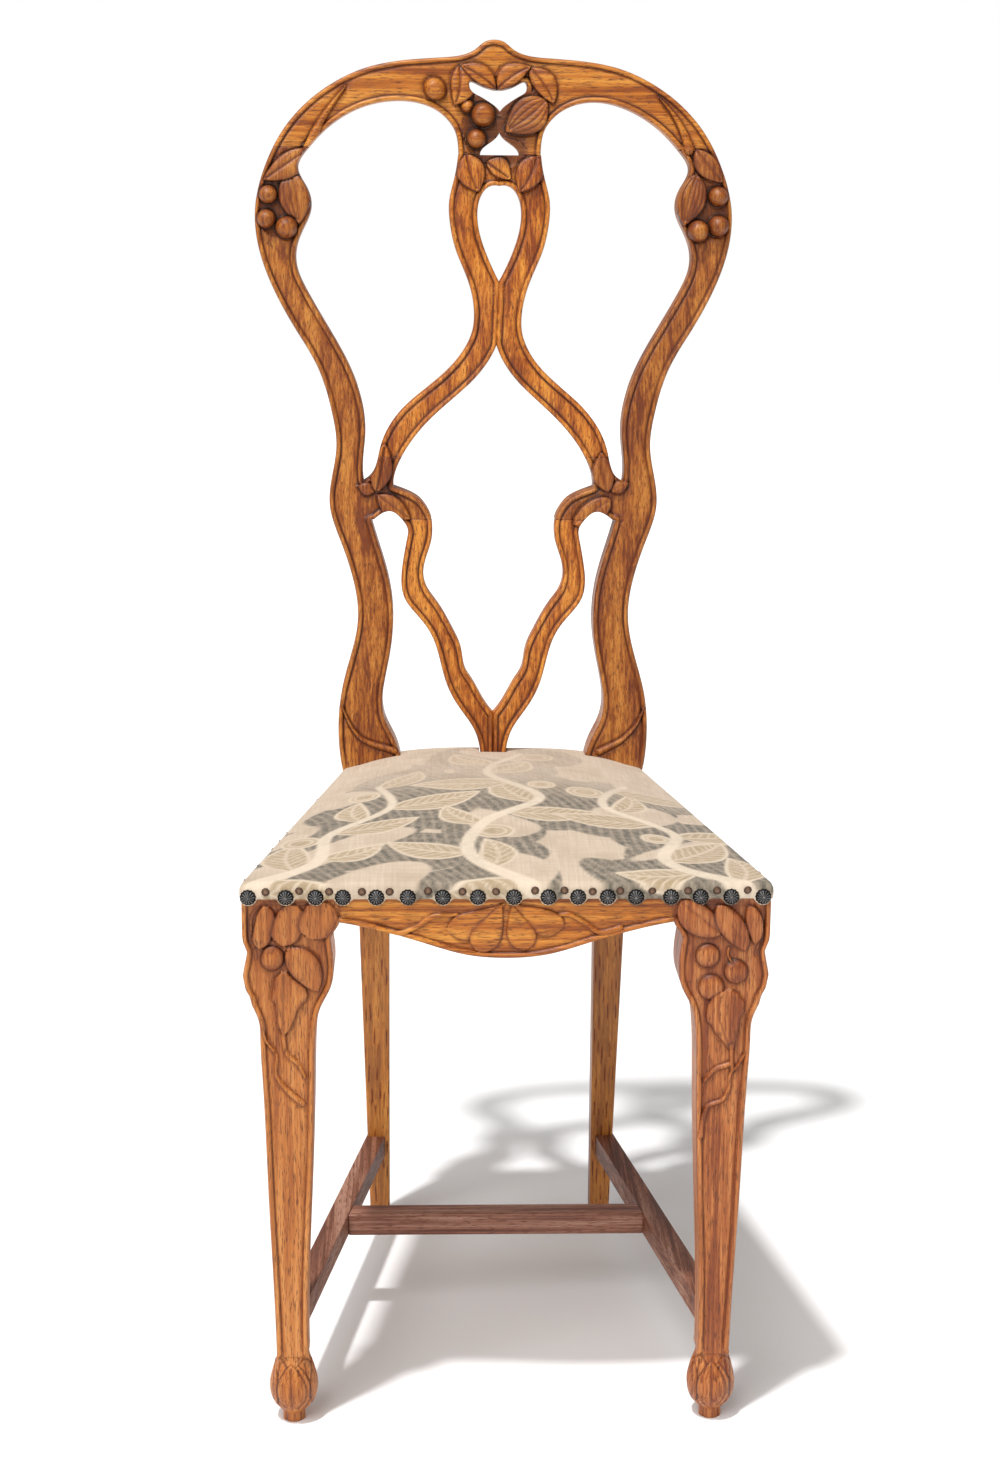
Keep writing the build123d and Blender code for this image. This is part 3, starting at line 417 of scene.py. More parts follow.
def berry(centre, radius, proud=1.0):
    """A carved berry, a low dome, its tone a painted highlight in the middle and painted shade at the rim."""
    def field(x, z):
        far = np.hypot(x - centre[0], z - centre[1])
        share = np.clip(far / radius, 0, 1)
        # Painted highlight in the middle of the dome, painted shade at its rim.
        line = 0.4 * (1 - share**2) - 0.22 - 0.4 * share**6
        return radius - far, proud * radius * np.sqrt(1 - share**2), line

    def trace():
        rings = []
        for r in (radius + trace_side, radius, radius - trace_side,
                  radius * 0.85, radius * 0.65, radius * 0.4):
            turn = np.linspace(0, 2 * np.pi, max(8, int(2 * np.pi * r / trace_step)), endpoint=False)
            rings.append(np.column_stack([centre[0] + r * np.cos(turn), centre[1] + r * np.sin(turn)]))
        return np.concatenate(rings)
    return field, trace


def stem(points, start, end, rise=2.4, reach=8):
    """A carved stem, a half round along a curve that narrows from its start width to its end width. Its tone
    is a painted highlight along a raised stem's crest and painted shade at its sides, the other way round in
    a sunk one.
    """
    line = smooth_line(points, 1.5)
    half = np.linspace(start, end, len(line)) / 2

    def field(x, z):
        part = np.column_stack([x, z])
        far, wide = np.full(len(x), far_off), np.full(len(x), half[0])
        near = ((part > line.min(0) - reach) & (part < line.max(0) + reach)).all(1)
        if near.any():
            gaps = np.hypot(part[near, :1] - line[:, 0], part[near, 1:] - line[:, 1])
            far[near], wide[near] = gaps.min(1), half[gaps.argmin(1)]
        share = np.clip(far / wide, 0, 1)
        # The tone is painted highlight and shade across the half round.
        return wide - far, rise * np.sqrt(1 - share**2), (0.3 * (1 - share**2) - 0.12) * np.sign(rise)

    def trace():
        ahead = np.gradient(line, axis=0)
        side = np.column_stack([-ahead[:, 1], ahead[:, 0]]) / np.hypot(*ahead.T)[:, None]
        rows = [line + side * (sign * (half + extra))[:, None]
                for sign in (1, -1) for extra in (0.5, 0, -0.6)]
        return np.concatenate(rows + [line])
    return field, trace


def hollow(centre, wide, high, depth=1.4):
    """Ground cut back round a spray and darkened, with stain and painted shade."""
    def field(x, z):
        share = np.hypot((x - centre[0]) / wide, (z - centre[1]) / high)
        soft = smoothstep(share, 1.0, 0.75)
        # The last value darkens the hollow: stain and painted shade.
        return (soft - 0.5) * 12 - 40 * np.maximum(share - 1, 0), -depth * soft, -0.32 * soft
    return field, lambda: np.zeros((0, 2))


def lap_over(deep, soft, wide):
    """How far a motif covers each point, and how far the cut round it does."""
    return smoothstep(deep, -soft, soft), np.where(deep < 0.1, np.exp(-(deep / wide)**2), 0)


def carved_height(points, free, joint, ornament, plain_below, relief, stain_and_shade):
    """Height of the carving above the sawn face, and its tone: below 0 darkened by stain, dirt and painted
    shade, above 0 paled by wear and painted highlight. Relief says how bold the leaves stand, and the last
    argument how dark the grooves and cuts are, with stain, dirt and painted shade."""
    x, z = points.T
    d = distance(points, free)
    near_joint = np.exp(-(distance(points, joint) / joint_width)**2) if len(joint) else 0 * d
    crest = np.sqrt(np.clip(1 - (2 * np.clip(d / bead_width, 0, 1) - 1)**2, 0, 1))
    rise = np.where(d < bead_width / 2, edge_drop * (crest - 1), groove_depth * (crest - 1))
    beyond = smoothstep(d, bead_width, bead_width + field_ease)
    rise = np.where(d > bead_width, -groove_depth + (groove_depth - field_depth) * beyond, rise)
    rise = rise + tool_marks * uneven(x, z, 0.31, 0.11, 0.23, 0.09) * beyond
    # Dirt and painted shade in the grooves and cuts, uneven along them.
    dirt_and_shade = stain_and_shade * (0.62 + 0.38 * uneven(x, z, 0.045, 0.031, 0.039, 0.027))
    # Painted highlight and wear along the bead's ridge, painted shade down its sides; the groove and the
    # ground beside it are darkened by dirt and painted shade.
    tone = bead_highlight_and_wear * (d < bead_width) * (crest - 0.62)
    tone = tone - groove_dirt_and_shade * dirt_and_shade * np.exp(-((d - bead_width) / groove_width)**2)
    tone = tone - ground_dirt_and_shade * stain_and_shade * (d > bead_width) * np.exp(-(d - bead_width) / ground_fade)
    for field, _ in ornament:
        deep, height, line = field(x, z)
        over, cut = lap_over(deep, 0.3, cut_width)
        near = np.where(deep < 0.1, np.exp(-np.maximum(-deep, 0) / near_width), 0)
        sunk = relief * (cut_depth * cut + near_depth * near)
        rise = rise * (1 - over) + (relief * height - field_depth) * over - sunk * (1 - over)
        # The cut round a motif and the ground beside it are darkened by dirt and painted shade.
        tone = tone * (1 - over) + line * over - cut_dirt_and_shade * dirt_and_shade * cut - near_dirt_and_shade * stain_and_shade * near * (1 - over)
    for centre, wide, high, amount in patina:
        tone = tone - amount * smoothstep(np.hypot((x - centre[0]) / wide, (z - centre[1]) / high), 1, 0.6)
    rise = np.clip(rise, -deepest_cut, -edge_drop + (edge_drop + proud_most) * quarter(d, proud_reach))
    rise = rise - joint_groove * near_joint
    tone = np.clip(tone - joint_dark * near_joint, -1, 1)
    if plain_below:
        share = smoothstep(z, *plain_below)
        rise = share * rise + (1 - share) * leg_round[0] * (quarter(d, leg_round[1]) - 1)
        lane = (x + 2 * np.sin(z * 0.021)) / lane_gap
        begin = 40 * np.sin(12.9 * np.round(lane))
        dash = np.sin(z * 0.15 + begin) * np.sin(z * 0.052 + 1.7 * begin)
        open_grain = smoothstep(np.cos(2 * np.pi * lane), 0.5, 0.95) * smoothstep(dash, 0.05, 0.5)
        tone = share * tone + (1 - share) * (plain_tone - lane_dark * open_grain)
    return rise, tone


def fill(rim, rows, step, extra=np.zeros((0, 2)), rim_gap=0.5, mark_gap=0.42):
    """Triangles that fill the outlines, with rows of points along the edges and an even grid inside.
    Gives the points, the triangles and each rim point's number."""
    edge = segments_of(rim)
    corners = edge[:, 0]
    ahead = np.concatenate([np.roll(line, -1, 0) - np.roll(line, 1, 0) for line in rim])
    into = np.column_stack([-ahead[:, 1], ahead[:, 0]]) / np.hypot(*ahead.T)[:, None]
    extra = extra[inside(extra, rim)]
    keep = [extra[distance(extra, edge) > rim_gap]]
    for row in rows:
        line = corners + into * row
        keep.append(line[(distance(line, edge) > row_share * row) & inside(line, rim)])
    marks = np.concatenate(keep)
    marks = marks[np.sort(np.unique(np.round(marks / mark_gap), axis=0, return_index=True)[1])]
    low, high = corners.min(0), corners.max(0)
    gx, gz = np.meshgrid(np.arange(low[0], high[0], step), np.arange(low[1], high[1], step * row_height))
    gx = gx + (np.arange(len(gx)) % 2)[:, None] * step / 2
    grid = np.column_stack([gx.ravel(), gz.ravel()])
    grid = grid[inside(grid, rim)]
    grid = grid[distance(grid, edge) > (rows[-1] if rows else 0) + 0.5 * step]
    if len(marks):
        tree = tree_of(marks)
        grid = grid[np.array([tree.find((x, z, 0))[2] > grid_share * step for x, z in grid], bool)]
    points = np.concatenate([corners, marks, grid])
    first = np.cumsum([0] + [len(line) for line in rim])
    edges = [(first[n] + i, first[n] + (i + 1) % len(line))
             for n, line in enumerate(rim) for i in range(len(line))]
    verts, _, faces, source, _, _ = delaunay_2d_cdt(points.tolist(), edges, [], 0, 1e-5)
    verts = np.array([tuple(v) for v in verts])
    faces = np.array(faces)
    faces = faces[inside(verts[faces].mean(1), rim)]
    u, v = verts[faces[:, 1]] - verts[faces[:, 0]], verts[faces[:, 2]] - verts[faces[:, 0]]
    area = (u[:, 0] * v[:, 1] - u[:, 1] * v[:, 0]) / 2
    faces[area < 0] = faces[area < 0][:, ::-1]
    faces = faces[np.abs(area) > sliver]
    number = {old: new for new, olds in enumerate(source) for old in olds}
    return verts, faces, [[number[first[n] + i] for i in range(len(line))] for n, line in enumerate(rim)]


def between(upper, lower):
    """Faces between two closed rows of points."""
    return list(zip(upper, lower, np.roll(lower, -1), np.roll(upper, -1)))


def show(name, data):
    """A new object of the scene."""
    thing = bpy.data.objects.new(name, data)
    bpy.context.scene.collection.objects.link(thing)
    return thing


def mesh_piece(name, verts, faces, finish, **values):
    """A smooth mesh piece, its points given in mm, with named values for each point."""
    mesh = bpy.data.meshes.new(name)
    mesh.from_pydata((np.asarray(verts) * mm).tolist(), [], [list(map(int, f)) for f in faces])
    mesh.polygons.foreach_set("use_smooth", [True] * len(mesh.polygons))
    for label, value in values.items():
        mesh.attributes.new(label, "FLOAT", "POINT").data.foreach_set("value", np.asarray(value, np.float32))
    mesh.materials.append(finish)
    return show(name, mesh)


def dress(piece, slot, *stands_for):
    """Hands a piece to the frame: the body that it rides on, the CAD nodes it stands for and its slot, which
    is not used.
    """
    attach(piece, "root")
    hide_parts(*stands_for)


def carve(name, node, group, finish, plain_below=None, trim=None, foot=None, cut=(1.15, 0.85)):
    """The carved piece for a CAD node: carved front, plain rounded back, sawn sides. The group is what is
    carved together; cut is how bold its relief is and how dark its cuts are, with stain, dirt and painted
    shade."""
    fronts, rims, edges, ornament = group
    rim, (fz, fy), (bz, by) = rims[node], *fronts[node][1:]
    low, high = np.concatenate(rim).min(0) - 5, np.concatenate(rim).max(0) + 5
    marks = np.concatenate([trace() for _, trace in ornament])
    marks = marks[((marks > low) & (marks < high)).all(1)]
    front, front_faces, front_rim = fill(rim, bead_rows, mesh_step, marks)
    back, back_faces, back_rim = fill(rim, back_rows, back_step)
    rise, tone = carved_height(front, *edges, ornament, plain_below, *cut)
    front_y = np.interp(front[:, 1], fz, fy) - rise
    rounding = back_round[0] * (1 - quarter(distance(back, edges[0]), back_round[1]))
    back_y = np.interp(back[:, 1], bz, by) - rounding
    verts = [np.column_stack([front[:, 0], front_y, front[:, 1]]),
             np.column_stack([back[:, 0], back_y, back[:, 1]])]
    faces = front_faces.tolist() + (back_faces[:, ::-1] + len(front)).tolist()
    total = len(front) + len(back)
    for outer, inner in zip(front_rim, back_rim):
        rows = [np.array(outer)]
        x, z = front[outer].T
        for y in (front_y[outer] + side_row, back_y[inner] - side_row):
            verts.append(np.column_stack([x, y, z]))
            rows.append(np.arange(total, total + len(outer)))
            total += len(outer)
        rows.append(np.array(inner) + len(front))
        for upper, lower in zip(rows, rows[1:]):
            faces += between(upper, lower)
    verts = np.concatenate(verts)
    tones = np.concatenate([tone, np.zeros(total - len(front))])
    if trim:
        verts = trim(verts)
    if foot:
        foot_verts, foot_faces, foot_tone = foot
        faces += [[i + total for i in face] for face in foot_faces]
        verts, tones = np.concatenate([verts, foot_verts]), np.concatenate([tones, foot_tone])
    dress(mesh_piece(name, verts, faces, finish, tone=tones), "carved_wood", node)


sides = ("left", "right")
back_nodes = ["crest_rail"] + [f"{s}_{p}" for s in sides for p in ("back_post", "upper_rib", "lower_rib")]
back_fronts = {node: front_of(node, piercing=120 if node == "crest_rail" else 0) for node in back_nodes}
back_rims = rims_of(back_fronts)
back_free, back_joints = sort_edges(back_rims)
# Each rib keeps its bead where the two touch.
seam = (np.abs(back_joints[:, :, 0]).max(1) < seam_reach) & (back_joints[:, :, 1].max(1) < rib_seam_top)
seam_z = back_joints[seam][:, :, 1]
for z in (seam_z[seam_z > branch_height], seam_z[seam_z < branch_height]):
    line = np.array([(0, step) for step in np.arange(z.min(), z.max() + 1.5, mesh_step)])
    back_free = np.concatenate([back_free, np.stack([line[:-1], line[1:]], 1)])

# The spray at each post's top, the leaves at the branch, and the tendril at its foot.
post_spray = [
    hollow((-200, 966), 17, 27), hollow((200, 966), 17, 27),
    leaf((-186.5, 1000), (-178.3, 953), 13, 16, bend=2, veins=(-0.66, -0.33), rib=0.5),
    leaf((-170, 1020), (-210.4, 992.4), 13, 9, rib=0.7),
    berry((-206.5, 979.5), 8.6), berry((-208.2, 957.9), 8.8), berry((-189.7, 950.2), 10.3),
    leaf((186, 1000), (174.2, 954), 16, 12, bend=-2, veins=(-0.5, 0.25, 0.5, 0.75), rib=0.5),
    leaf((184.6, 1021.9), (209.4, 992.8), 8.5, 11.5, rib=0.7),
    berry((205.7, 980.4), 9.3), berry((206, 954), 9.8), berry((187.5, 949.3), 10.1),
    stem([(-141, 520), (-136, 506), (-124, 488), (-92, 475)], 1.2, 6.0),
    stem([(141, 516), (135, 502), (122, 487), (99, 474)], 1.2, 6.0),
]
branch_leaves = [
    leaf((-109, 713.5), (-125, 717.5), 6.5, 5.5, rib=0, rise=3.4),
    leaf((108, 714), (124.5, 721.5), 5.5, 6, rib=0, rise=3.4),
    leaf((-106.6, 709.5), (-76.8, 687.7), 8.5, 10, rib=0.6),
    leaf((-107.9, 712.2), (-100.3, 756.4), 10, 10, bend=-1),
    leaf((108, 706.1), (73.7, 683.6), 11, 9.5, rib=0.2, blunt=0.6),
    leaf((105.6, 712.9), (99.8, 748.5), 10, 10, bend=2, rib=0.4),
]
# Crest centre: four leaves above, a veined leaf and berries below, and three leaves on the bridge.
crest_spray = [
    hollow((-5, 1040), 33, 36), hollow((0, 1068), 37, 20, depth=0.8), hollow((1, 1019), 27, 15, depth=0.8),
    stem([(-135, 1077), (-151, 1056), (-162, 1038), (-169, 1022)], 0.6, 10, rise=2.8),
    stem([(150, 1069.5), (165, 1052), (174, 1036), (179, 1022)], 0.6, 9, rise=2.8),
    leaf((-12.2, 1009.6), (10.3, 994.4), 12, 5.6, rise=3.6),
    leaf((-30.5, 1016.6), (-19.4, 983.3), 14, 12.2, bend=-2),
    leaf((34.2, 1014.9), (18.2, 983.1), 10.5, 14, bend=2),
    berry((-58.1, 1074.8), 10.4), berry((-29.4, 1059.4), 6.2),
    berry((-21.4, 1030.7), 9.1), berry((-15.2, 1051.8), 11.2),
    leaf((42.8, 1065.8), (5.4, 1037.3), 16, 16.5, bend=2, veins=(-0.66, -0.33, 0.33, 0.66), rib=0.6),
    leaf((-33.1, 1095.2), (-41.3, 1060), 14.5, 8.5, bend=2),
    leaf((30.9, 1093.8), (49.2, 1062.2), 12.6, 9.4, bend=2),
    leaf((-2.7, 1075), (-32, 1095.6), 7, 11, bend=-2), leaf((-1.2, 1075), (31.9, 1095), 11, 7, bend=2),
]
back = (back_fronts, back_rims, (back_free, back_joints[~seam]), post_spray + branch_leaves + crest_spray)
lean = 5.0                 # the middle of this hand-made back stands a little to the right
lean_across, lean_from, lean_to = (130, 55), (770, 920), (1112, 1060)


def lean_right(verts):
    """Moves the upper ribs and the crest's middle to where this chair has them."""
    x, z = verts[:, 0], verts[:, 2]
    share = smoothstep(np.abs(x), *lean_across) * smoothstep(z, *lean_from) * smoothstep(z, *lean_to)
    verts[:, 0] = x + lean * share
    return verts


post_walnut = {
    "left": waxed_walnut("waxed_walnut_left_post", "#76360a", "#a65e1c", "#c68034"),
    "right": waxed_walnut("waxed_walnut_right_post", "#70320a", "#9e5819", "#bd7830", shift=(0, 0, 0.4))}
for side in sides:
    carve(f"carved_{side}_post", f"{side}_back_post", back, post_walnut[side],
          plain_below=plain_zone, trim=lean_right)

# Crest rail. One bowed board of walnut with its grain along it, pierced at the middle and carved with
# the chair's main spray of leaves and berries. It sits on the posts and ribs with dowels.
sideways = (0, math.pi / 2, 0)          # turns the grain along X
along_walnut = waxed_walnut("waxed_walnut_along", "#8c4408", "#ba6b1a", "#d58d35", turn=sideways)
carve("carved_crest", "crest_rail", back, along_walnut, trim=lean_right)

# Ribs of the back. Thin bent-looking strips of walnut, sawn out in pairs, that touch at the middle,
# with a bead along each edge. They meet the posts at the branch leaves and the crest at its bridge.
upright_walnut = waxed_walnut("waxed_walnut_upright", "#863d09", "#bb691d", "#dc8f36", shift=(0.1, 0, 0.2))
for side in sides:
    for part in ("upper", "lower"):
        carve(f"carved_{side}_{part}_rib", f"{side}_{part}_rib", back, upright_walnut, trim=lean_right)

# Front legs. Each is one piece of walnut: a square block at the rail, a waist, a tapering shaft and a
# turned bud foot, carved on the front with leaves, berries and a trailing vine inside a beaded edge.
# The block takes the tenons of the front and side rails.
leg_flat = 150 * mm**2     # the bud's facets are smaller than the shaft's flats
leg_cut = (0.7, 0.5)       # the front is carved shallower than the back
under_cover = 1.8          # the block's top is eased back where the cover turns over it
cover_turn = (444, 449)
waist_notch = ((358, 0), (366, 2.2), (373, 1.8), (382, 0.2), (391, 1.6), (401, 3.4), (410, 0.6), (415, 0))
bud_top, bud_rows, bud_turns = 60, 64, 120
bud_seam_rows = 30         # corners on a full ring of the turned foot
petal_count, petal_foot = 4, 14
bud_petals = ((0.5, 16, 56), (0.21, 10.5, 51), (-0.03, 12.4, 52))   # turn, half width and top of each layer
bud_neck, petal_start = (17, 12), (8, 14)
# Cuts round the petals and the flutes are darkened by dirt and painted shade.
petal_cut, petal_dirt_and_shade = 0.6, 0.7
flute_width, flute_depth, flute_dirt_and_shade = 0.12, 0.6, 0.5
front_nodes = ["front_seat_rail"] + [f"{side}_front_leg" for side in sides]
front_fronts = {node: front_of(node, flat=leg_flat) for node in front_nodes}
front_rims = rims_of(front_fronts)
front_free, front_joints = sort_edges(front_rims)
panel_end = front_rims["left_front_leg"][0][:, 1].min() + 3
front_free = front_free[front_free[:, :, 1].min(1) > panel_end]     # the panel runs on into the bud

# Leaves as rows of share of the length, half width to the left and half width to the right.
vine_leaf_left = (
    (0, 2, 2), (0.1, 7.2, 7), (0.25, 17, 9), (0.36, 19, 10.5), (0.44, 17.5, 10.5), (0.5, 14, 6.5),
    (0.6, 10.5, 6.2), (0.75, 8.5, 5.4), (0.9, 5, 3.2), (1, 0.5, 0.5))
vine_leaf_right = (
    (0, 4, 5), (0.06, 9.5, 11), (0.2, 13, 16.4), (0.36, 12, 18.4), (0.46, 8.4, 18), (0.52, 7.6, 15),
    (0.65, 6.5, 12.5), (0.8, 4.2, 7.5), (0.92, 2.5, 3), (1, 0.5, 0.5))
block_shares = (0, 0.08, 0.25, 0.55, 0.8, 0.94, 1)
block_halves = [((3, 6.5, 9.5, 9.5, 8, 4.5, 1), (2, 4, 6, 6.4, 6.2, 4.5, 1.5)),
                ((4, 8.5, 12, 12, 10.5, 6, 1.5), (3.5, 7, 10.5, 11.4, 11, 8, 3)),
                ((5, 9.5, 13.5, 13.5, 12, 7, 2), (4.5, 8.5, 13, 13.8, 13.4, 9.5, 4))]
block_leaves = [tuple(zip(block_shares, *halves)) for halves in block_halves]
leg_spray = [
    stem([(-128, 440.5), (-165, 440), (-190, 439), (-197, 433), (-198.5, 412), (-197, 396)],
         1.6, 1.6, rise=-1.2),
    stem([(150, 440.5), (175, 439.5), (191, 438), (197.5, 431), (198.5, 412), (197, 398)],
         1.6, 1.6, rise=-1.2),
    leaf((-187, 438.5), (-193, 404.5), rib=0, rise=4, shape=block_leaves[0]),
    leaf((-165, 439.5), (-174.5, 407), rib=0, rise=4, shape=block_leaves[1]),
    leaf((-140.5, 441.5), (-152, 412.5), rib=0, rise=4, shape=block_leaves[2]),
    berry((-183, 396.7), 10, proud=0.5),
    leaf((-169.8, 404.8), (-146.9, 370.5), 12.5, 12, bend=2, rib=0, blunt=0.65),
    stem([(-191.5, 346), (-187.4, 328.2), (-179.9, 317.5), (-180.4, 300.2), (-174.2, 290.7),
          (-160.3, 276.9)], 1.2, 5),
    stem([(-174.8, 336), (-171.3, 317.5), (-162.3, 308.9), (-158, 299.3)], 4, 2.6),
    leaf((-173.3, 385.8), (-174, 334), rib=0.7, shape=vine_leaf_left),
    leaf((134.8, 442), (167.3, 415.6), 9.5, 15, rib=0.4, blunt=0.55),
    leaf((188.7, 438), (194.7, 407.4), 8.5, 5, rib=0, blunt=0.55),
    leaf((163.8, 438.5), (188.6, 402.5), 10, 10, rib=0, blunt=0.6),
    berry((156.9, 397.8), 9.8, proud=0.5), berry((179.7, 384.7), 9.8, proud=0.55),
    berry((160.4, 372), 10.5, proud=0.5),
    stem([(173.5, 403.7), (173, 398.9), (175.8, 393)], 2.4, 2),
    stem([(176.5, 308), (164.8, 303.5), (157.1, 294.4)], 4, 2.6),
    stem([(188, 316), (182.5, 306), (177.5, 300), (176.8, 288.6), (171.8, 278.5), (160, 272.7), (157, 262.6),
          (155.5, 248)], 1.6, 4.2),
    leaf((172.9, 369.5), (178, 319), rib=0.5, shape=vine_leaf_right, veins=(-0.45, 0.4)),
    stem([(177.8, 324), (178.2, 312), (179, 303)], 3.2, 3.2),
]
# Front rail: two plump leaves of two lobes each hang from one point, between stems that leave the lower bead.
lobe = {"rise": 1.8, "widest": 0.7, "blunt": 0.5, "rib": 0}
apron_spray = [
    stem([(-100, 420.5), (-84, 416.5), (-70, 422), (-57, 430), (-39, 431.5)], 4.4, 3.4, rise=1.8),
    stem([(88, 420.5), (72, 417), (60, 425), (48, 431.5), (34, 429)], 4.4, 3.4, rise=1.8),
    leaf((-1, 441), (-46, 419), 13, 9.5, bend=3, **lobe),
    leaf((3, 441), (44, 422), 9, 12.5, bend=-2, **lobe),
    leaf((-4, 440), (-23, 402), 10.5, 12.5, bend=2, **lobe),
    leaf((4, 440), (15, 403), 12.5, 9.5, bend=-2, **lobe),
]
front = (front_fronts, front_rims, (front_free, front_joints), leg_spray + apron_spray)

rail_mesh = nodes["right_seat_rail"].data
rail_face = max(rail_mesh.polygons, key=lambda f: f.area * (f.normal.x > 0.9))
side_level = rail_face.normal.dot(rail_face.center) / mm


def side_x(y):
    """Half width of the seat frame at depth y, along the outer faces of the side rails."""
    return (side_level - rail_face.normal.y * y) / rail_face.normal.x


def stacked(turns, rings):
    """Faces of rings of points stacked one on another."""
    number = np.arange(turns * rings).reshape(rings, turns)
    return [face[1:] + face[:1] for low, high in zip(number, number[1:]) for face in between(high, low)]


def bud_foot(node):
    """The turned bud under a front leg, with petals cut round it. The petals' tone is a painted highlight and
    shade, and the cuts and flutes are darkened by dirt and painted shade.
    """
    points = np.array([v.co for v in nodes[node].data.vertices]) / mm
    low = points[points[:, 2] < bud_top - 4]
    centre = (low.max(0) + low.min(0)) / 2
    far = np.hypot(*(points - centre)[:, :2].T)
    heights, counts = np.unique(np.round(points[points[:, 2] < bud_top, 2], 1), return_counts=True)
    heights = heights[counts > bud_seam_rows]
    radii = np.array([far[np.abs(points[:, 2] - h) < 0.1].min() for h in heights])
    levels = np.concatenate([[0, 0.8], np.linspace(1.6, bud_top, bud_rows)])
    turns = np.linspace(0, 2 * np.pi, bud_turns, endpoint=False)
    turn, z = (grid.ravel() for grid in np.meshgrid(turns, levels))
    round_mm = 2 * np.pi * radii.max()
    arc = ((turn / (2 * np.pi) + 0.25 + 0.5) % 1 - 0.5) * round_mm
    rise, tone = np.zeros(arc.size), np.zeros(arc.size)
    for lap, wide, tall in bud_petals:
        field, _ = leaf((0, petal_foot), (-1, tall), wide, wide, rise=1.0, widest=0.42, blunt=0.58)
        for n in range(petal_count):
            middle = (n + lap) * round_mm / petal_count
            deep, height, line = field((arc - middle + round_mm / 2) % round_mm - round_mm / 2, z)
            over, cut = lap_over(deep, 0.4, 1.0)
            rise = rise * (1 - over) + height * over - petal_cut * cut * (1 - over)
            # Painted highlight and shade on each petal; its cut is darkened by dirt and painted shade.
            tone = tone * (1 - over) + line * over - petal_dirt_and_shade * cut
    flute = np.exp(-((np.cos(petal_count * turn) + 1) / flute_width)**2) * smoothstep(z, *bud_neck)
    grown = np.interp(z, heights, radii) + rise * smoothstep(z, *petal_start) - flute_depth * flute
    verts = np.column_stack([centre[0] + grown * np.cos(turn), centre[1] + grown * np.sin(turn), z])
    caps = [tuple(range(bud_turns))[::-1], tuple(range(len(verts) - bud_turns, len(verts)))]
    return verts, stacked(bud_turns, len(levels)) + caps, np.clip(tone - flute_dirt_and_shade * flute, -1, 1)


def trim_leg(node):
    """Brings a leg's outer side in to the line of the side rail."""
    sign = 1 if node.startswith("right") else -1
    rim = front_rims[node][0]
    middle = np.abs(rim[:, 0]).mean()
    outer = rim[np.abs(rim[:, 0]) > middle]
    outer = outer[np.argsort(outer[:, 1])]

    def trim(verts):
        x, z = verts[:, 0] * sign, verts[:, 2]
        edge = np.interp(z, outer[:, 1], np.abs(outer[:, 0]))
        limit = np.minimum(side_x(verts[:, 1]), edge) - np.interp(z, *zip(*waist_notch))
        limit = limit - under_cover * smoothstep(z, *cover_turn)
        squeeze = np.minimum(1, (limit - middle) / np.maximum(edge - middle, 1))
        verts[:, 0] = sign * np.where(x > middle, middle + (x - middle) * squeeze, x)
        return verts
    return trim


leg_walnut = {"left": waxed_walnut("pale_leg_walnut", "#a0571f", "#ba7030", "#cd8746"),
              "right": waxed_walnut("deep_leg_walnut", "#803c14", "#ab602a", "#c88247", shift=(0, 0, 0.3))}
for side in sides:
    node = f"{side}_front_leg"
    carve(f"carved_{node}", node, front, leg_walnut[side],
          trim=trim_leg(node), foot=bud_foot(node), cut=leg_cut)

# Front rail. A walnut board between the front legs, its lower edge sawn in a wave and beaded, with four
# pear-shaped leaves carved low at the middle. Its tenons go into the legs.
carve("carved_front_rail", "front_seat_rail", front, along_walnut, cut=leg_cut)

# Side and rear rails. Plain walnut boards, planed and stained, are tenoned between the legs and posts.
# The cover is turned down over them and nailed to their outer faces.
inward = (math.pi / 2, 0, 0)            # turns the grain along Y
inward_walnut = waxed_walnut("waxed_walnut_inward", "#7a3d12", "#b0652a", "#d28a45", turn=inward)


def paint(mesh, finish):
    """Gives a mesh one material."""
    mesh.materials.clear()
    mesh.materials.append(finish)


for side, finish in (("left", inward_walnut), ("right", inward_walnut), ("rear", along_walnut)):
    paint(nodes[f"{side}_seat_rail"].data, finish)

# Stretchers. Two square bars run from front foot to rear foot, and a third crosses between them, all
# tenoned. Their stain is redder and darker, and their edges are rubbed round by feet.
stretcher_edge = 1.6 * mm
side_bar = waxed_walnut("dark_walnut_inward", "#5a3222", "#84543f", "#a87d68", turn=inward, gloss=0.5)
cross_bar = waxed_walnut("dark_walnut_along", "#60372a", "#8c5a46", "#af8470", turn=sideways, gloss=0.5)
for place, finish in (("left_side", side_bar), ("cross", cross_bar), ("right_side", side_bar)):
    node = f"{place}_stretcher"
    shape = welded(node)
    bmesh.ops.dissolve_limit(shape, angle_limit=math.radians(1), verts=shape.verts, edges=shape.edges)
    mesh = bpy.data.meshes.new(f"rubbed_{node}")
    shape.to_mesh(mesh)
    shape.free()
    mesh.materials.append(finish)
    bar = show(f"rubbed_{node}", mesh)
    rub = bar.modifiers.new("rubbed_edges", "BEVEL")
    rub.width, rub.segments, rub.limit_method, rub.angle_limit = stretcher_edge, 3, "ANGLE", math.radians(30)
    dress(bar, "stretcher_wood", node)

# Corner blocks, screws and dowels. Beech blocks glued and screwed in the seat's corners keep it square,
# with plain steel countersunk screws; beech dowels pin the crest and ribs. They show only from below.
beech = waxed_walnut("planed_beech", "#b98f60", "#cda676", "#dcbc90", turn=sideways, gloss=0.6)
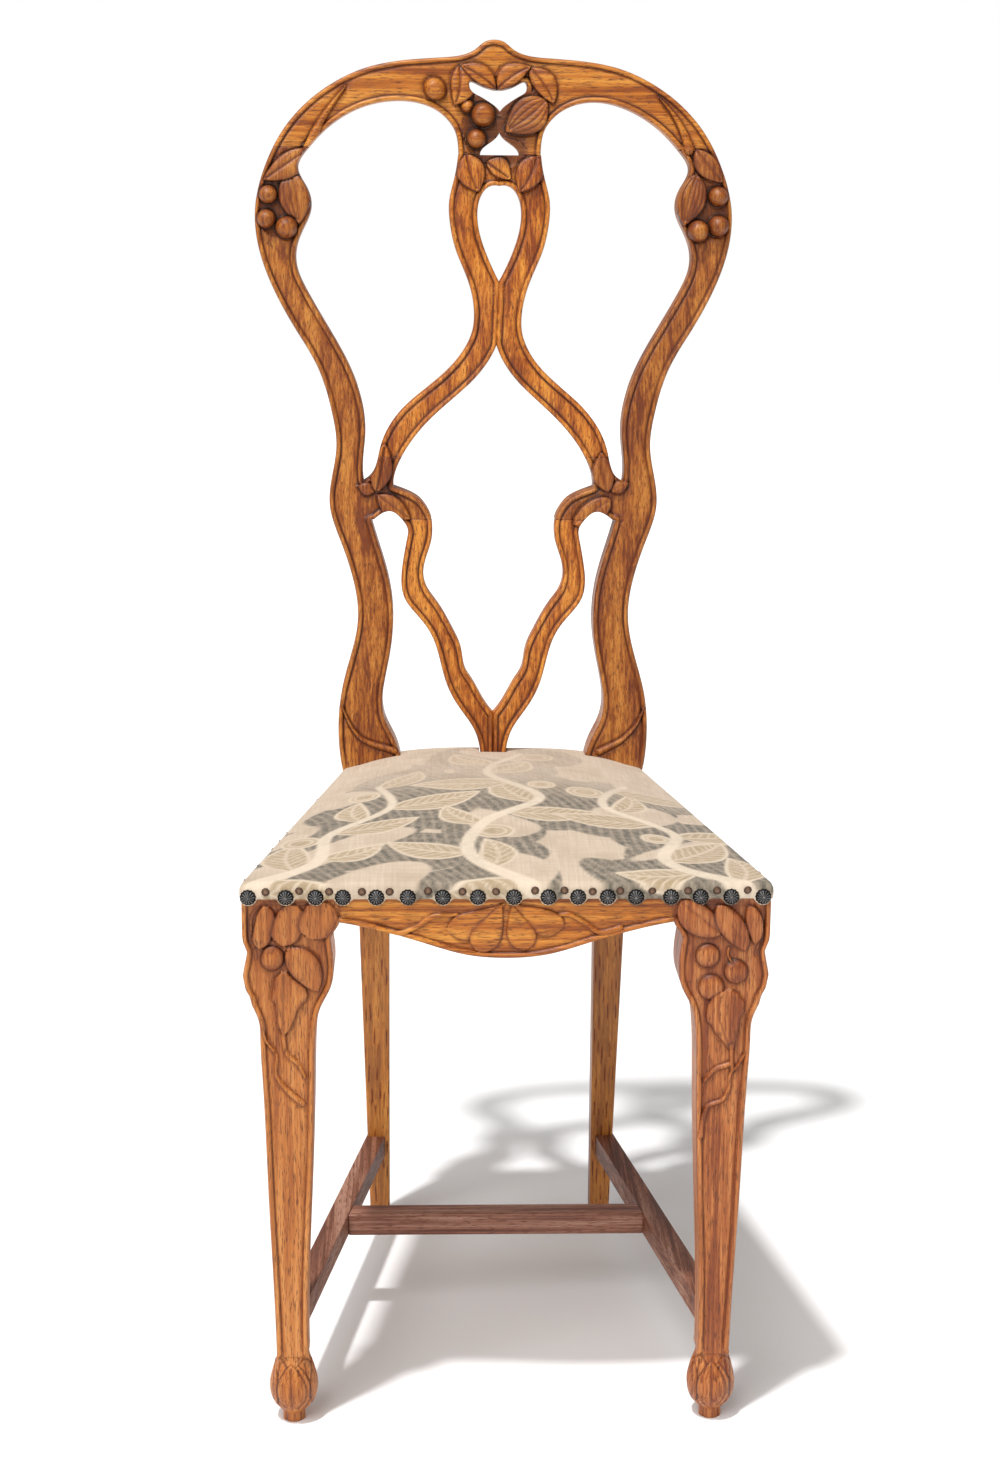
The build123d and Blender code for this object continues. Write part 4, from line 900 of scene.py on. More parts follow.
# Steel gone dull, with brown spots of rust.
steel, tree, shader = new_material("plain_steel")
place = add(tree, "ShaderNodeTexCoord")["Object"]
spot = add(tree, "ShaderNodeTexNoise", {"Vector": place, "Scale": 1 / (1.5 * mm), "Detail": 3.0})[0]
rusted = add(tree, "ShaderNodeValToRGB", {"Fac": spot}, ((0.45, "#8d8a86"), (0.72, "#6b4a35")))[0]
feed(tree, shader, {"Base Color": rusted, "Metallic": 1.0, "Roughness": 0.42})
for node in nodes:
    if node.endswith(("_block", "_dowels", "_screws")):
        paint(nodes[node].data, steel if node.endswith("_screws") else beech)

# Webbing. Jute straps, two lengthwise and three crosswise, are pulled tight under one another in turn
# and tacked to the rail tops. They carry the pad and show from below.
strap_thick = 0.9
strap_step, strap_columns = 3.0, 13
weave_swell = 70.0         # length over which a strap rises to pass its neighbour


def woven(name, thread, light, dark, coarse, map_name=None):
    """Plain woven cloth: threads go over and under, each thread a little lighter or darker than the next."""
    finish, tree, shader = new_material(name)
    if map_name:
        place = add(tree, "ShaderNodeUVMap", uv_map=map_name)[0]
    else:
        place = add(tree, "ShaderNodeTexCoord")["Object"]
    slub, band = {}, {}
    for axis, stretch in (("X", (1, 0.04, 1)), ("Y", (0.04, 1, 1))):
        scale = tuple(s / (thread * mm) for s in stretch)
        scaled = add(tree, "ShaderNodeVectorMath", {0: place, 1: scale}, operation="MULTIPLY")[0]
        slub[axis] = add(tree, "ShaderNodeTexNoise", {
            "Vector": scaled, "Scale": 0.6, "Detail": 2.0, "Roughness": 0.6})[0]
        # A wave texture's band repeats every 0.314 units, so this gives one band for each pair of threads.
        band[axis] = add(tree, "ShaderNodeTexWave", {
            "Vector": place, "Scale": 0.314 / (2 * thread * mm), "Distortion": 0.6,
            "Detail": 1.0, "Detail Scale": 1.0}, bands_direction=axis)["Fac"]
    against = add(tree, "ShaderNodeMath", {0: 1.0, 1: band["Y"]}, operation="SUBTRACT")[0]
    over = add(tree, "ShaderNodeMix", {0: band["X"], 2: against, 3: band["Y"]}, data_type="FLOAT")[0]
    yarn = add(tree, "ShaderNodeMix", {0: over, 2: slub["X"], 3: slub["Y"]}, data_type="FLOAT")[0]
    cloth = add(tree, "ShaderNodeValToRGB", {"Fac": yarn}, ((0.3, dark), (0.66, light)))[0]
    height = add(tree, "ShaderNodeMath", {0: over, 1: 0.6, 2: yarn}, operation="MULTIPLY_ADD")[0]
    bump = add(tree, "ShaderNodeBump", {
        "Strength": coarse, "Distance": 0.3 * thread * mm, "Height": height})[0]
    feed(tree, shader, {"Base Color": cloth, "Normal": bump, "Roughness": 0.92, "Sheen Weight": 0.15})
    return finish, cloth


def islands(node):
    """Each separate body of a CAD node, as points in mm."""
    shape = welded(node)
    left, found = set(shape.verts), []
    while left:
        heap, group = [left.pop()], []
        while heap:
            v = heap.pop()
            group.append(v.co / mm)
            near = {e.other_vert(v) for e in v.link_edges} & left
            left -= near
            heap.extend(near)
        found.append(np.array(group))
    shape.free()
    return found


def grid_faces(used):
    """Faces of a grid of points, where it is used."""
    rows, columns = used.shape
    number = np.arange((rows + 1) * (columns + 1)).reshape(rows + 1, columns + 1).tolist()
    return [(number[r][c], number[r][c + 1], number[r + 1][c + 1], number[r + 1][c])
            for r, c in np.argwhere(used).tolist()]


def rim_of(faces):
    """The closed line of points round a sheet of faces."""
    steps = {(a, b) for face in faces for a, b in zip(face, face[1:] + face[:1])}
    return loops({a: [b] for a, b in sorted(step for step in steps if step[::-1] not in steps)})[0]


def slab(plan, faces, low, high):
    """A sheet of cloth with its thickness, from a plan whose faces look up and its low and high levels."""
    count = len(plan)
    verts = np.concatenate([np.column_stack([plan, level + np.zeros(count)]) for level in (low, high)])
    rim = np.array(rim_of(faces))
    under, over = [face[::-1] for face in faces], [[i + count for i in face] for face in faces]
    return verts, under + over + between(rim + count, rim)


jute = woven("jute_webbing", 2.2, "#b99b6c", "#8d6f45", 0.8)[0]
webbing_low = {kind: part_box(f"{kind}_webbing")[0].z / mm for kind in ("lengthwise", "crosswise")}
swap_rise = webbing_low["crosswise"] - webbing_low["lengthwise"]
strap_lines = {kind: [(body.min(0), body.max(0)) for body in islands(f"{kind}_webbing")]
               for kind in webbing_low}
crossing = {"lengthwise": sorted((a[1] + b[1]) / 2 for a, b in strap_lines["crosswise"]),
            "crosswise": sorted((a[0] + b[0]) / 2 for a, b in strap_lines["lengthwise"])}
for kind, lines in strap_lines.items():
    run_axis = 1 if kind == "lengthwise" else 0
    verts, faces = np.zeros((0, 3)), []
    for n, (low, high) in enumerate(sorted(lines, key=lambda ends: ends[0][1 - run_axis])):
        along = np.linspace(low[run_axis], high[run_axis], int((high - low)[run_axis] / strap_step))
        across = np.linspace(low[1 - run_axis], high[1 - run_axis], strap_columns)
        lift = np.zeros(len(along))
        for i, middle in enumerate(crossing[kind]):
            if (n + i) % 2 == 0:
                lift += 0.5 + 0.5 * np.cos(np.pi * np.clip(np.abs(along - middle) / weave_swell, 0, 1))
        level = webbing_low[kind] + np.repeat(lift * swap_rise * (1 if run_axis else -1), strap_columns)
        plan = np.stack(np.meshgrid(along, across, indexing="ij"), 2).reshape(-1, 2)
        sheet = grid_faces(np.ones((len(along) - 1, strap_columns - 1), bool))
        if run_axis:
            plan = plan[:, ::-1]
        else:
            sheet = [face[::-1] for face in sheet]
        strap_verts, strap_faces = slab(plan, sheet, level, level + strap_thick)
        faces += [[i + len(verts) for i in face] for face in strap_faces]
        verts = np.concatenate([verts, strap_verts])
    dress(mesh_piece(f"jute_{kind}_straps", verts, faces, jute), "jute_webbing", f"{kind}_webbing")

# Hessian. One sheet of coarse sacking is cut to the frame, stretched over the straps and tacked. It keeps
# the stuffing from falling through.
hessian_settle = 0.5       # it lies on the straps
hessian_step, hessian_grid = 6.0, 7.0
sacking = woven("woven_hessian", 1.6, "#b7996d", "#8a6c46", 0.8)[0]
shape = welded("seat_hessian")
hessian_line = even_outline(border(shape, {f for f in shape.faces if f.normal.z > 0.9}, 1)[0], hessian_step)
shape.free()
hessian_low, hessian_high = (corner.z / mm - hessian_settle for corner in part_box("seat_hessian"))
plan, plan_faces, _ = fill([hessian_line], (), hessian_grid)
hessian = mesh_piece("hessian_sheet", *slab(plan, plan_faces.tolist(), hessian_low, hessian_high), sacking)
dress(hessian, "hessian", "seat_hessian")

# Seat cover over its stuffing. Coarse printed linen is drawn over a low hair pad, turned down over the
# rails and nailed; it is cut round the posts and the middle ribs. The pad is highest behind the middle.
cover_low, cover_high = (np.array(corner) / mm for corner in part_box("seat_cover"))
fold_gap = 0.2
post_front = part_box("right_back_post")[0].y / mm
post_line = post_front - fold_gap
front_line, rear_line = cover_low[1], cover_high[1]
post_inner, stem_half = 85.9, 12.65     # plan of the cuts at the posts and the middle ribs
pad_edge = 457.7
pad_crown = ((0, 0), (0.2, 13), (0.55, 22.5), (1, 19))   # share of the depth, rise at the middle
crown_powers = (2.2, 3.6)  # front and rear: fuller toward the sides than a plain arch
crown_ease = 60            # rounds of smoothing along the depth
slack, slack_edge = 2.5, 8              # the pad starts this much low, all but its outer eighth
swell_cap = 5.0
shoulder = 5.0
cover_reach, cover_thick = 1.4, 1.2
front_rows, rear_rows = 273, 13
stem_columns, rib_columns, post_columns = 8, 52, 44
skirt_rows = 7
under_inset = 4.5          # the turned cloth runs in under the pad
under_level = 450
hem_radius = 7.0           # scallops of the hem round the nails
hem_rise = 1.6             # hem between the nails, below their middles
tuck = 9.0                 # cloth turned down at the posts
sim_stride, sim_frames = 4, 20
cloth_settings = {"quality": 6, "mass": 0.3, "tension_stiffness": 20, "compression_stiffness": 20,
                  "bending_stiffness": 2, "use_pressure": True, "uniform_pressure_force": 4.0,
                  "vertex_group_mass": "nailed"}
lump_height, lump_ease = 0.45, 40
drag_depth, drag_reach, drag_start = 0.3, 16, 2        # cloth drawn toward the front nails
nail_press, press_reach = 0.4, 5        # cloth pressed in at a nail, and full between nails
hem_belly, belly_reach = 0.4, 6
nail_dome, tack_dome = 3.0, 1.4
tack_drift, tack_stray = 3.0, 0.6       # hand-driven tacks don't stand evenly
nail_height = sum(corner.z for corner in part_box("decorative_nails")) / 2 / mm


def heads_of(node, dome):
    """Where each head sits on the cover, and which way it looks."""
    places = []
    for body in islands(node):
        middle = (body.max(0) + body.min(0)) / 2
        if middle[1] < front_line + 8:
            out = np.array([0.0, -1.0, 0.0])
        elif middle[1] > post_front:
            out = np.array([0.0, 1.0, 0.0])
        else:
            out = np.array([rail_face.normal.x * np.sign(middle[0]), rail_face.normal.y, 0.0])
        along = np.array([-out[1], out[0], 0])
        level = (body @ along).max() / 2 + (body @ along).min() / 2
        places.append((out * ((body @ out).max() - dome) + along * level + np.array([0, 0, middle[2]]), out))
    return places


nail_places = sorted(heads_of("decorative_nails", nail_dome), key=lambda head: (head[1][1] > -1, head[0][0]))
tack_places = sorted(heads_of("seat_tacks", tack_dome), key=lambda head: tuple(head[0]))
chance = np.random.default_rng(5)
for place, out in tack_places:
    place += np.cross(out, (0, 0, 1)) * chance.uniform(-tack_drift, tack_drift)
    place[2] += chance.uniform(-tack_stray, tack_stray)
half_rear = side_x(post_line) + cover_reach
spans = ((0, stem_half, stem_columns), (stem_half, post_inner, rib_columns),
         (post_inner, half_rear, post_columns))
share = np.concatenate([np.linspace(a, b, n, endpoint=False) for a, b, n in spans] + [[half_rear]])
share = np.concatenate([-share[:0:-1], share]) / half_rear
depth_y = np.concatenate([np.linspace(front_line, post_line, front_rows),
                          np.linspace(post_line, rear_line, rear_rows)[1:]])
grid_y, grid_s = np.meshgrid(depth_y, share, indexing="ij")
half = side_x(np.minimum(grid_y, post_line)) + cover_reach
grid_x = grid_s * half
depth_share = (grid_y - front_line) / (rear_line - front_line)
crown = np.interp(depth_share, *zip(*pad_crown))
for _ in range(crown_ease):
    crown[1:-1] = (crown[:-2] + 2 * crown[1:-1] + crown[2:]) / 4
top = pad_edge + crown * (1 - np.abs(grid_s)**np.interp(depth_share, (0, 1), crown_powers))
rows, columns = top.shape
used = np.ones((rows - 1, columns - 1), bool)
mid_y = (depth_y[1:] + depth_y[:-1]) / 2
mid_x = np.abs((share[1:] + share[:-1]) / 2) * half_rear
used[np.ix_(mid_y > post_line, (mid_x > post_inner) | (mid_x < stem_half))] = False

# The pad swells under its cover: a coarse copy is pinned along its edges and blown up as cloth.
start = top - slack * np.minimum(1, np.minimum(depth_share, 1 - np.abs(grid_s)) * slack_edge)
coarse = np.stack([grid_x, grid_y, start], 2)[::sim_stride, ::sim_stride]
coarse_faces = grid_faces(used[::sim_stride, ::sim_stride])
swollen = mesh_piece("swelling_cloth", coarse.reshape(-1, 3), coarse_faces, jute)
uses = np.bincount(np.array(coarse_faces).ravel(), minlength=coarse[..., 0].size)
nailed = swollen.vertex_groups.new(name="nailed")
nailed.add(np.flatnonzero(uses < 4).tolist(), 1.0, "REPLACE")
cloth = swollen.modifiers.new("cloth", "CLOTH")
for key, value in cloth_settings.items():
    setattr(cloth.settings, key, value)
cloth.settings.effector_weights.gravity = 0
cloth.collision_settings.use_collision = False
cloth.point_cache.frame_start, cloth.point_cache.frame_end = 1, sim_frames
for step in range(1, sim_frames + 1):
    bpy.context.scene.frame_set(step)
blown = swollen.evaluated_get(bpy.context.evaluated_depsgraph_get())
rise = np.array([v.co.z / mm for v in blown.data.vertices]).reshape(coarse.shape[:2]) - coarse[..., 2]
bpy.context.scene.frame_set(1)
bpy.data.objects.remove(swollen)
rise = np.clip(rise, 0, swell_cap)
for axis, fine in ((0, rows), (1, columns)):
    rise = np.apply_along_axis(
        lambda line: np.interp(np.linspace(0, 1, fine), np.linspace(0, 1, len(line)), line), axis, rise)
top = start + rise

# Shoulders roll over to the skirt, and the cloth is drawn in a little at each nail.
front_gap, rear_gap = grid_y - front_line, rear_line - grid_y
side_gap = np.where(grid_y < post_front, half - np.abs(grid_x), far_off)
near_front = np.maximum(shoulder - np.minimum(front_gap, rear_gap), 0)
near_side = np.maximum(shoulder - side_gap, 0)
corner = np.hypot(near_front, near_side)
pull = np.where(corner > shoulder, 1 - shoulder / np.maximum(corner, 1e-6), 0)
grid_x = grid_x - np.sign(grid_x) * near_side * pull
grid_y = grid_y + np.where(front_gap < rear_gap, 1, -1) * near_front * pull
top = top - (shoulder - np.sqrt(np.maximum(shoulder**2 - np.minimum(corner, shoulder)**2, 0)))
lump = uneven(grid_x, grid_y, 0.037, 0.021, 0.031, 0.027, bend=(1.3, 1.1))
top = top + lump_height * lump * np.minimum(1, np.minimum(front_gap, side_gap) / lump_ease)
nail_xy = np.array([place[:2] for place, out in nail_places])
front_xs = np.sort(nail_xy[nail_xy[:, 1] < front_line + 3, 0])
drag_gap = np.abs(grid_x[..., None] - front_xs).min(2) / np.diff(front_xs).mean()
drag = np.cos(2 * np.pi * np.minimum(drag_gap, 0.5)) * np.exp(-front_gap / drag_reach)
top = top - drag_depth * drag * (front_gap > drag_start)

verts = np.column_stack([grid_x.ravel(), grid_y.ravel(), top.ravel()])
faces = grid_faces(used)
edge_line = np.array(rim_of(faces))
edge = verts[edge_line]
run = np.roll(edge, -1, 0) - np.roll(edge, 1, 0)
outward = np.column_stack([run[:, 1], -run[:, 0], 0 * run[:, 0]])
outward /= np.maximum(np.linalg.norm(outward, axis=1), 1e-9)[:, None]
near_nail = np.hypot(edge[:, :1] - nail_xy[:, 0], edge[:, 1:2] - nail_xy[:, 1]).min(1)
rear_edge = (edge[:, 1] > rear_line - shoulder) & (np.abs(edge[:, 0]) < post_inner)
cut_edge = (edge[:, 1] > post_front - 1) & ~rear_edge
scallop = nail_height - np.sqrt(np.maximum(hem_radius**2 - near_nail**2, 0))
hem = np.where(cut_edge, edge[:, 2] - tuck, np.minimum(scallop, nail_height - hem_rise))
layers, laid = [verts], [verts[:, :2]]
for row in range(1, skirt_rows + 1):
    t = row / skirt_rows
    press = nail_press * np.exp(-(near_nail / press_reach)**2) * t
    press = press - hem_belly * (1 - np.exp(-(near_nail / belly_reach)**2)) * np.sin(np.pi * t)
    layer = edge - outward * press[:, None]
    layer[:, 2] = edge[:, 2] * (1 - t) + hem * t
    layers.append(layer)
    laid.append(edge[:, :2] + outward[:, :2] * (edge[:, 2] - layer[:, 2])[:, None])
# The underside's rim runs in less at the corners, so that it doesn't cross itself.
under_pad = hessian_high + 0.05
corner_span = 4            # points on each side of a corner
run_in = (edge - np.roll(edge, corner_span, 0))[:, :2]
run_out = (np.roll(edge, -corner_span, 0) - edge)[:, :2]
sharp = (run_in * run_out).sum(1) < 0.5 * np.hypot(*run_in.T) * np.hypot(*run_out.T)
to_corner = np.hypot(edge[:, :1] - edge[sharp, 0], edge[:, 1:2] - edge[sharp, 1]).min(1)
inset_under = np.clip(0.85 * to_corner, cover_thick, under_inset)
below_roll = edge[:, 2] + np.sqrt(shoulder**2 - (shoulder - inset_under)**2) - 0.5
for height, inset in ((hem, cover_thick), (np.maximum(hem + 0.4, under_level), cover_thick),
                      (np.minimum(under_pad, below_roll), inset_under[:, None])):
    layer = edge - outward * inset
    layer[:, 2] = height
    layers.append(layer)
    laid.append(layer[:, :2])
count = len(edge_line)
skirt = [edge_line] + [len(verts) + k * count + np.arange(count) for k in range(len(layers) - 1)]
verts, flat = np.concatenate(layers), np.concatenate(laid)
for upper, lower in zip(skirt, skirt[1:]):
    faces += between(upper, lower)
plan, plan_faces, plan_rim = fill([verts[skirt[-1]][:, :2]], (), 2 * hessian_grid)
known = {new: skirt[-1][i] for i, new in enumerate(plan_rim[0])}
inner = [i for i in range(len(plan)) if i not in known]
known.update({i: len(verts) + n for n, i in enumerate(inner)})
verts = np.concatenate([verts, np.column_stack([plan[inner], np.full(len(inner), under_pad)])])
flat = np.concatenate([flat, plan[inner]])
faces += [tuple(known[i] for i in face[::-1]) for face in plan_faces]
kept = np.unique(np.concatenate([np.array(f) for f in faces]))
renumber = np.zeros(len(verts), int)
renumber[kept] = np.arange(len(kept))
faces = [renumber[list(f)] for f in faces]
verts, flat = verts[kept], flat[kept]

# The print: trailing sprays of plain oval leaves and round fruit, grey shade behind them, all worn.
spray_stems = [
    [(-205, -262), (-150, -205), (-142, -130), (-92, -62), (-104, 10)],
    [(28, -262), (-28, -196), (-14, -118), (34, -52), (-8, 34), (22, 120)],
    [(196, -262), (128, -206), (142, -128), (88, -60), (112, 18)]]
stem_width, stem_step = (13, 6), 2.0
leaf_gap, leaf_long, leaf_half, leaf_bend = 36.0, 84.0, 20.0, 8
vein_gap = 9.0
fruit_radius, fruit_off = 17.0, 26
shade_reach, hatch_gap, hatch_strength = 26.0, 8.5, 0.3
fade_span, fade_most = (-60, 40), 0.7   # the print is worn toward the rear
print_fill, print_line, print_far = np.zeros(len(flat)), np.zeros(len(flat)), np.full(len(flat), far_off)
fu, fv = flat.T
shapes = []


def printed_leaf(base, way, length, half, bend):
    """A flat leaf of the print: how deep each point lies inside it, and its midrib and side veins."""
    u, v, beyond = leaf_place(fu, fv, base, way, length, bend)
    wide = half * np.sin(np.pi * np.clip(u, 0, 1)**0.8)**0.85
    deep = np.where(beyond > 0, -np.hypot(beyond, v), wide - np.abs(v))
    veins = smoothstep(np.cos(2 * np.pi * (u * length - 1.1 * np.abs(v)) / vein_gap), 0.45, 0.9)
    return deep, np.maximum(np.exp(-(v / 1.3)**2), 0.8 * veins)


for n, points in enumerate(spray_stems):
    line = smooth_line(points, stem_step)
    way = np.gradient(line, axis=0)
    way /= np.hypot(*way.T)[:, None]
    for k, at in enumerate(range(8, len(line) - 4, int(leaf_gap / stem_step))):
        side = 1 if (k + n) % 2 else -1
        spread = math.radians(46 + 9 * math.sin(3.1 * k + n))
        ahead, aside = math.cos(spread), side * math.sin(spread)
        turn = np.array([[ahead, -aside], [aside, ahead]])
        size = 0.86 + 0.16 * math.sin(2.3 * k + 1.7 * n)
        if k % 4 == 3:
            centre = line[at] + turn @ way[at] * fruit_off
            radius, far = fruit_radius * size, np.hypot(fu - centre[0], fv - centre[1])
            shapes.append((radius - far, np.exp(-((far - 0.6 * radius) / 1.6)**2), 0.0))
        else:
            wide = leaf_half * size
            drawn = printed_leaf(line[at], turn @ way[at], leaf_long * size, wide, side * leaf_bend)
            shapes.append((*drawn, 0.0))
    shapes.append((stem(points, *stem_width)[0](fu, fv)[0], 0 * fu, 1.0))
for deep, vein, pale in shapes:
    over = smoothstep(deep, -0.9, 0.9)
    drawn = np.maximum(np.exp(-((deep - 1.0) / 1.5)**2), np.maximum(0.8 * vein, pale) * over)
    print_fill = print_fill * (1 - over) + (1 - 0.8 * pale) * over
    print_line = np.maximum(print_line * (1 - over), drawn)
    print_far = np.minimum(print_far, np.maximum(-deep, 0))
cloud = uneven(fu, fv, 0.031, 0.017, 0.037, 0.019)
shade = smoothstep(print_far, shade_reach * 1.06, shade_reach * 0.96) * smoothstep(cloud, -0.38, -0.28)
faded = 1 - fade_most * smoothstep(fv + 0.12 * fu, *fade_span)
hatch = smoothstep(np.cos(2 * np.pi * (fu + 14 * np.sin(fv * 0.024) + 0.35 * fv) / hatch_gap), 0.1, 0.8)
print_shade = shade * (1 - print_fill) * faded * (1 - hatch_strength * hatch)
print_fill, print_line = print_fill * (0.35 + 0.65 * faded), print_line * (0.45 + 0.55 * faded)

# Linen gone cream, soiled in patches, its print worn thin from thread to thread.
linen, printed = woven("printed_linen", 1.1, "#d0bda8", "#b9a48d", 0.55, map_name="cloth")
tree = linen.node_tree
place = add(tree, "ShaderNodeUVMap", uv_map="cloth")[0]
wear, age = (add(tree, "ShaderNodeTexNoise", {
    "Vector": place, "Scale": 1 / (size * mm), "Detail": detail, "Roughness": rough})[0]
    for size, detail, rough in ((7, 5.0, 0.7), (38, 4.0, 0.6)))
soil = add(tree, "ShaderNodeMapRange", {"Value": age, "From Min": 0.45, "From Max": 0.7, "To Max": 0.5})[0]
printed = add(tree, "ShaderNodeMix", {0: soil, 6: printed, 7: linear("#a8937b")}, data_type="RGBA")[2]
for layer, colour, low, high in (("shade", "#5c564a", 0.6, 1.0), ("fill", "#a18b69", 0.35, 0.9),
                                 ("line", "#e0ceb7", 0.65, 0.92)):
    amount = add(tree, "ShaderNodeAttribute", attribute_name=f"print_{layer}")["Fac"]
    thin = add(tree, "ShaderNodeMapRange", {
        "Value": wear, "From Min": 0.35, "From Max": 0.62, "To Min": low, "To Max": high})[0]
    inked = add(tree, "ShaderNodeMath", {0: amount, 1: thin}, operation="MULTIPLY")[0]
    printed = add(tree, "ShaderNodeMix", {0: inked, 6: printed, 7: linear(colour)}, data_type="RGBA")[2]
feed(tree, tree.nodes["Principled BSDF"], {"Base Color": printed})

cover = mesh_piece("printed_linen_cover", verts, faces, linen,
                   print_shade=print_shade, print_fill=print_fill, print_line=print_line)
corners = np.zeros(len(cover.data.loops), int)
cover.data.loops.foreach_get("vertex_index", corners)
cover.data.uv_layers.new(name="cloth").data.foreach_set("uv", (flat[corners] * mm).ravel())
dress(cover, "seat_fabric", "seat_cover", "seat_stuffing")

# Tacks. Small forged iron tacks, rusted brown, hold the cover's edge before the nails go in. They were
# driven by hand, so they stand a little out of line and lean.
tack_radius = 3.3
stand_off = 0.6            # the heads sit on the cloth, not in it


def rusted_iron(name, dark, light, metallic, rough, spot_mm, reach=(0.3, 0.8)):
    """Iron heads, blackened or rusted: uneven from spot to spot, paler where the head's tone puts a painted
    highlight.
    """
    finish, tree, shader = new_material(name)
    place = add(tree, "ShaderNodeTexCoord")["Object"]
    noise = add(tree, "ShaderNodeTexNoise", {"Vector": place, "Scale": 1 / (spot_mm * mm), "Detail": 4.0})[0]
    # The head's tone is a painted highlight on its ridges and crown.
    head_highlight = add(tree, "ShaderNodeAttribute", attribute_name="tone")["Fac"]
    level = add(tree, "ShaderNodeMix", {0: 0.65, 2: noise, 3: head_highlight}, data_type="FLOAT")[0]
    colour = add(tree, "ShaderNodeValToRGB", {"Fac": level}, zip(reach, (dark, light)))[0]
    bump = add(tree, "ShaderNodeBump", {"Strength": 0.4, "Distance": 0.2 * mm, "Height": noise})[0]
    feed(tree, shader, {"Base Color": colour, "Normal": bump, "Metallic": metallic, "Roughness": rough,
                        "Specular IOR Level": 0.3})
    return finish


def domed_head(name, radius, dome, turns, rings, flutes=0.0, boss=0.0):
    """A head that looks along Z, its rim at zero; flutes cut every second corner back to leave petals
    round a boss. Its tone puts a painted highlight on the petals and the crown, darker in the flutes."""
    verts, tone = [], []
    for r in rings:
        for n, turn in enumerate(np.linspace(0, 2 * np.pi, turns, endpoint=False)):
            cut = flutes * (n % 2) * smoothstep(r, 0.2, 0.5)
            far = radius * r * (1 - 0.16 * cut * (r == 1))
            verts.append((far * math.cos(turn), far * math.sin(turn), dome * (1 - r**2.2) * (1 - cut)))
            # Painted highlight: full on the petals' ridges, none in the flutes, low at the rim, even on plain
            # heads.
            tone.append(((n + 1) % 2 if r < 1 else 0.1) if flutes else 0.35)
    verts.append((0, 0, dome + boss))
    # Painted highlight at the crown.
    tone.append(1.0)
    last = (len(rings) - 1) * turns
    crown = [(last + i, last + (i + 1) % turns, len(verts) - 1) for i in range(turns)]
    faces = stacked(turns, len(rings)) + crown + [tuple(range(turns))[::-1]]
    return mesh_piece(name, verts, faces, linen, tone=tone)


def driven(name, node, places, head, finish, slot, lean):
    """Heads set on the cover at the places, each turned and leaning a little its own way."""
    mesh = bpy.data.meshes.new(name)
    mesh.from_pydata([tuple((place + out * stand_off) * mm) for place, out in places], [], [])
    mesh.attributes.new("outward", "FLOAT_VECTOR", "POINT").data.foreach_set(
        "vector", np.array([out for place, out in places], np.float32).ravel())
    piece = show(name, mesh)
    tree = bpy.data.node_groups.new(f"{name}_rows", "GeometryNodeTree")
    given_values = {"Geometry": ("Geometry", None), "Head": ("Object", head),
                    "Lean": ("Float", math.radians(lean)), "Finish": ("Material", finish), "Seed": ("Int", 7)}
    socket = {}
    for label, (kind, _) in given_values.items():
        made = tree.interface.new_socket(label, in_out="INPUT", socket_type=f"NodeSocket{kind}")
        socket[label] = made.identifier
    tree.interface.new_socket("Geometry", in_out="OUTPUT", socket_type="NodeSocketGeometry")
    given = add(tree, "NodeGroupInput")
    outward = add(tree, "GeometryNodeInputNamedAttribute", {"Name": "outward"},
                  data_type="FLOAT_VECTOR")["Attribute"]
    facing = add(tree, "FunctionNodeAlignRotationToVector", {"Vector": outward}, axis="Z")[0]
    ends = []
    for sign in (-1.0, 1.0):
        most = add(tree, "ShaderNodeMath", {0: given["Lean"], 1: sign}, operation="MULTIPLY")[0]
        ends.append(add(tree, "ShaderNodeCombineXYZ", {"X": most, "Y": most, "Z": sign * math.pi})[0])
    chance = add(tree, "FunctionNodeRandomValue", {0: ends[0], 1: ends[1], "Seed": given["Seed"]},
                 data_type="FLOAT_VECTOR")[0]
    spin = add(tree, "FunctionNodeEulerToRotation", {0: chance})[0]
    set_by = add(tree, "FunctionNodeRotateRotation", {0: facing, 1: spin}, rotation_space="LOCAL")[0]
    source = add(tree, "GeometryNodeObjectInfo", {"Object": given["Head"]})["Geometry"]
    rows = add(tree, "GeometryNodeInstanceOnPoints", {
        "Points": given["Geometry"], "Instance": source, "Rotation": set_by})[0]
    real = add(tree, "GeometryNodeRealizeInstances", {"Geometry": rows})[0]
    shown = add(tree, "GeometryNodeSetMaterial", {"Geometry": real, "Material": given["Finish"]})[0]
    add(tree, "NodeGroupOutput", {"Geometry": shown})
    modifier = piece.modifiers.new("rows", "NODES")
    modifier.node_group = tree
    for label in ("Head", "Lean", "Finish", "Seed"):
        modifier[socket[label]] = given_values[label][1]
    graph = bpy.context.evaluated_depsgraph_get()
    baked = bpy.data.meshes.new_from_object(piece.evaluated_get(graph), depsgraph=graph)
    piece.modifiers.remove(modifier)
    piece.data = baked
    paint(baked, finish)
    bpy.data.objects.remove(head)
    dress(piece, slot, node)


# The pale colour is a painted highlight at each tack's crown; elsewhere it gives rust spots.
brown_iron = rusted_iron("rusted_iron", "#3a281f", "#86664f", 0.1, 0.55, 2.0)
tack_head = domed_head("tack_head", tack_radius, tack_dome, 9, (1, 0.7))
driven("brown_tacks", "seat_tacks", tack_places, tack_head, brown_iron, "brown_tacks", 9)

# Webbing tacks. Flat-headed iron tacks of the same rusted brown hold the straps' ends on the rail tops,
# where the pad hides them.
paint(nodes["webbing_tacks"].data, brown_iron)

# Decorative nails. Pressed iron heads shaped as a daisy round a boss, blackened blue, one row along the
# front and sides through the cover's hem.
nail_radius = 6.5
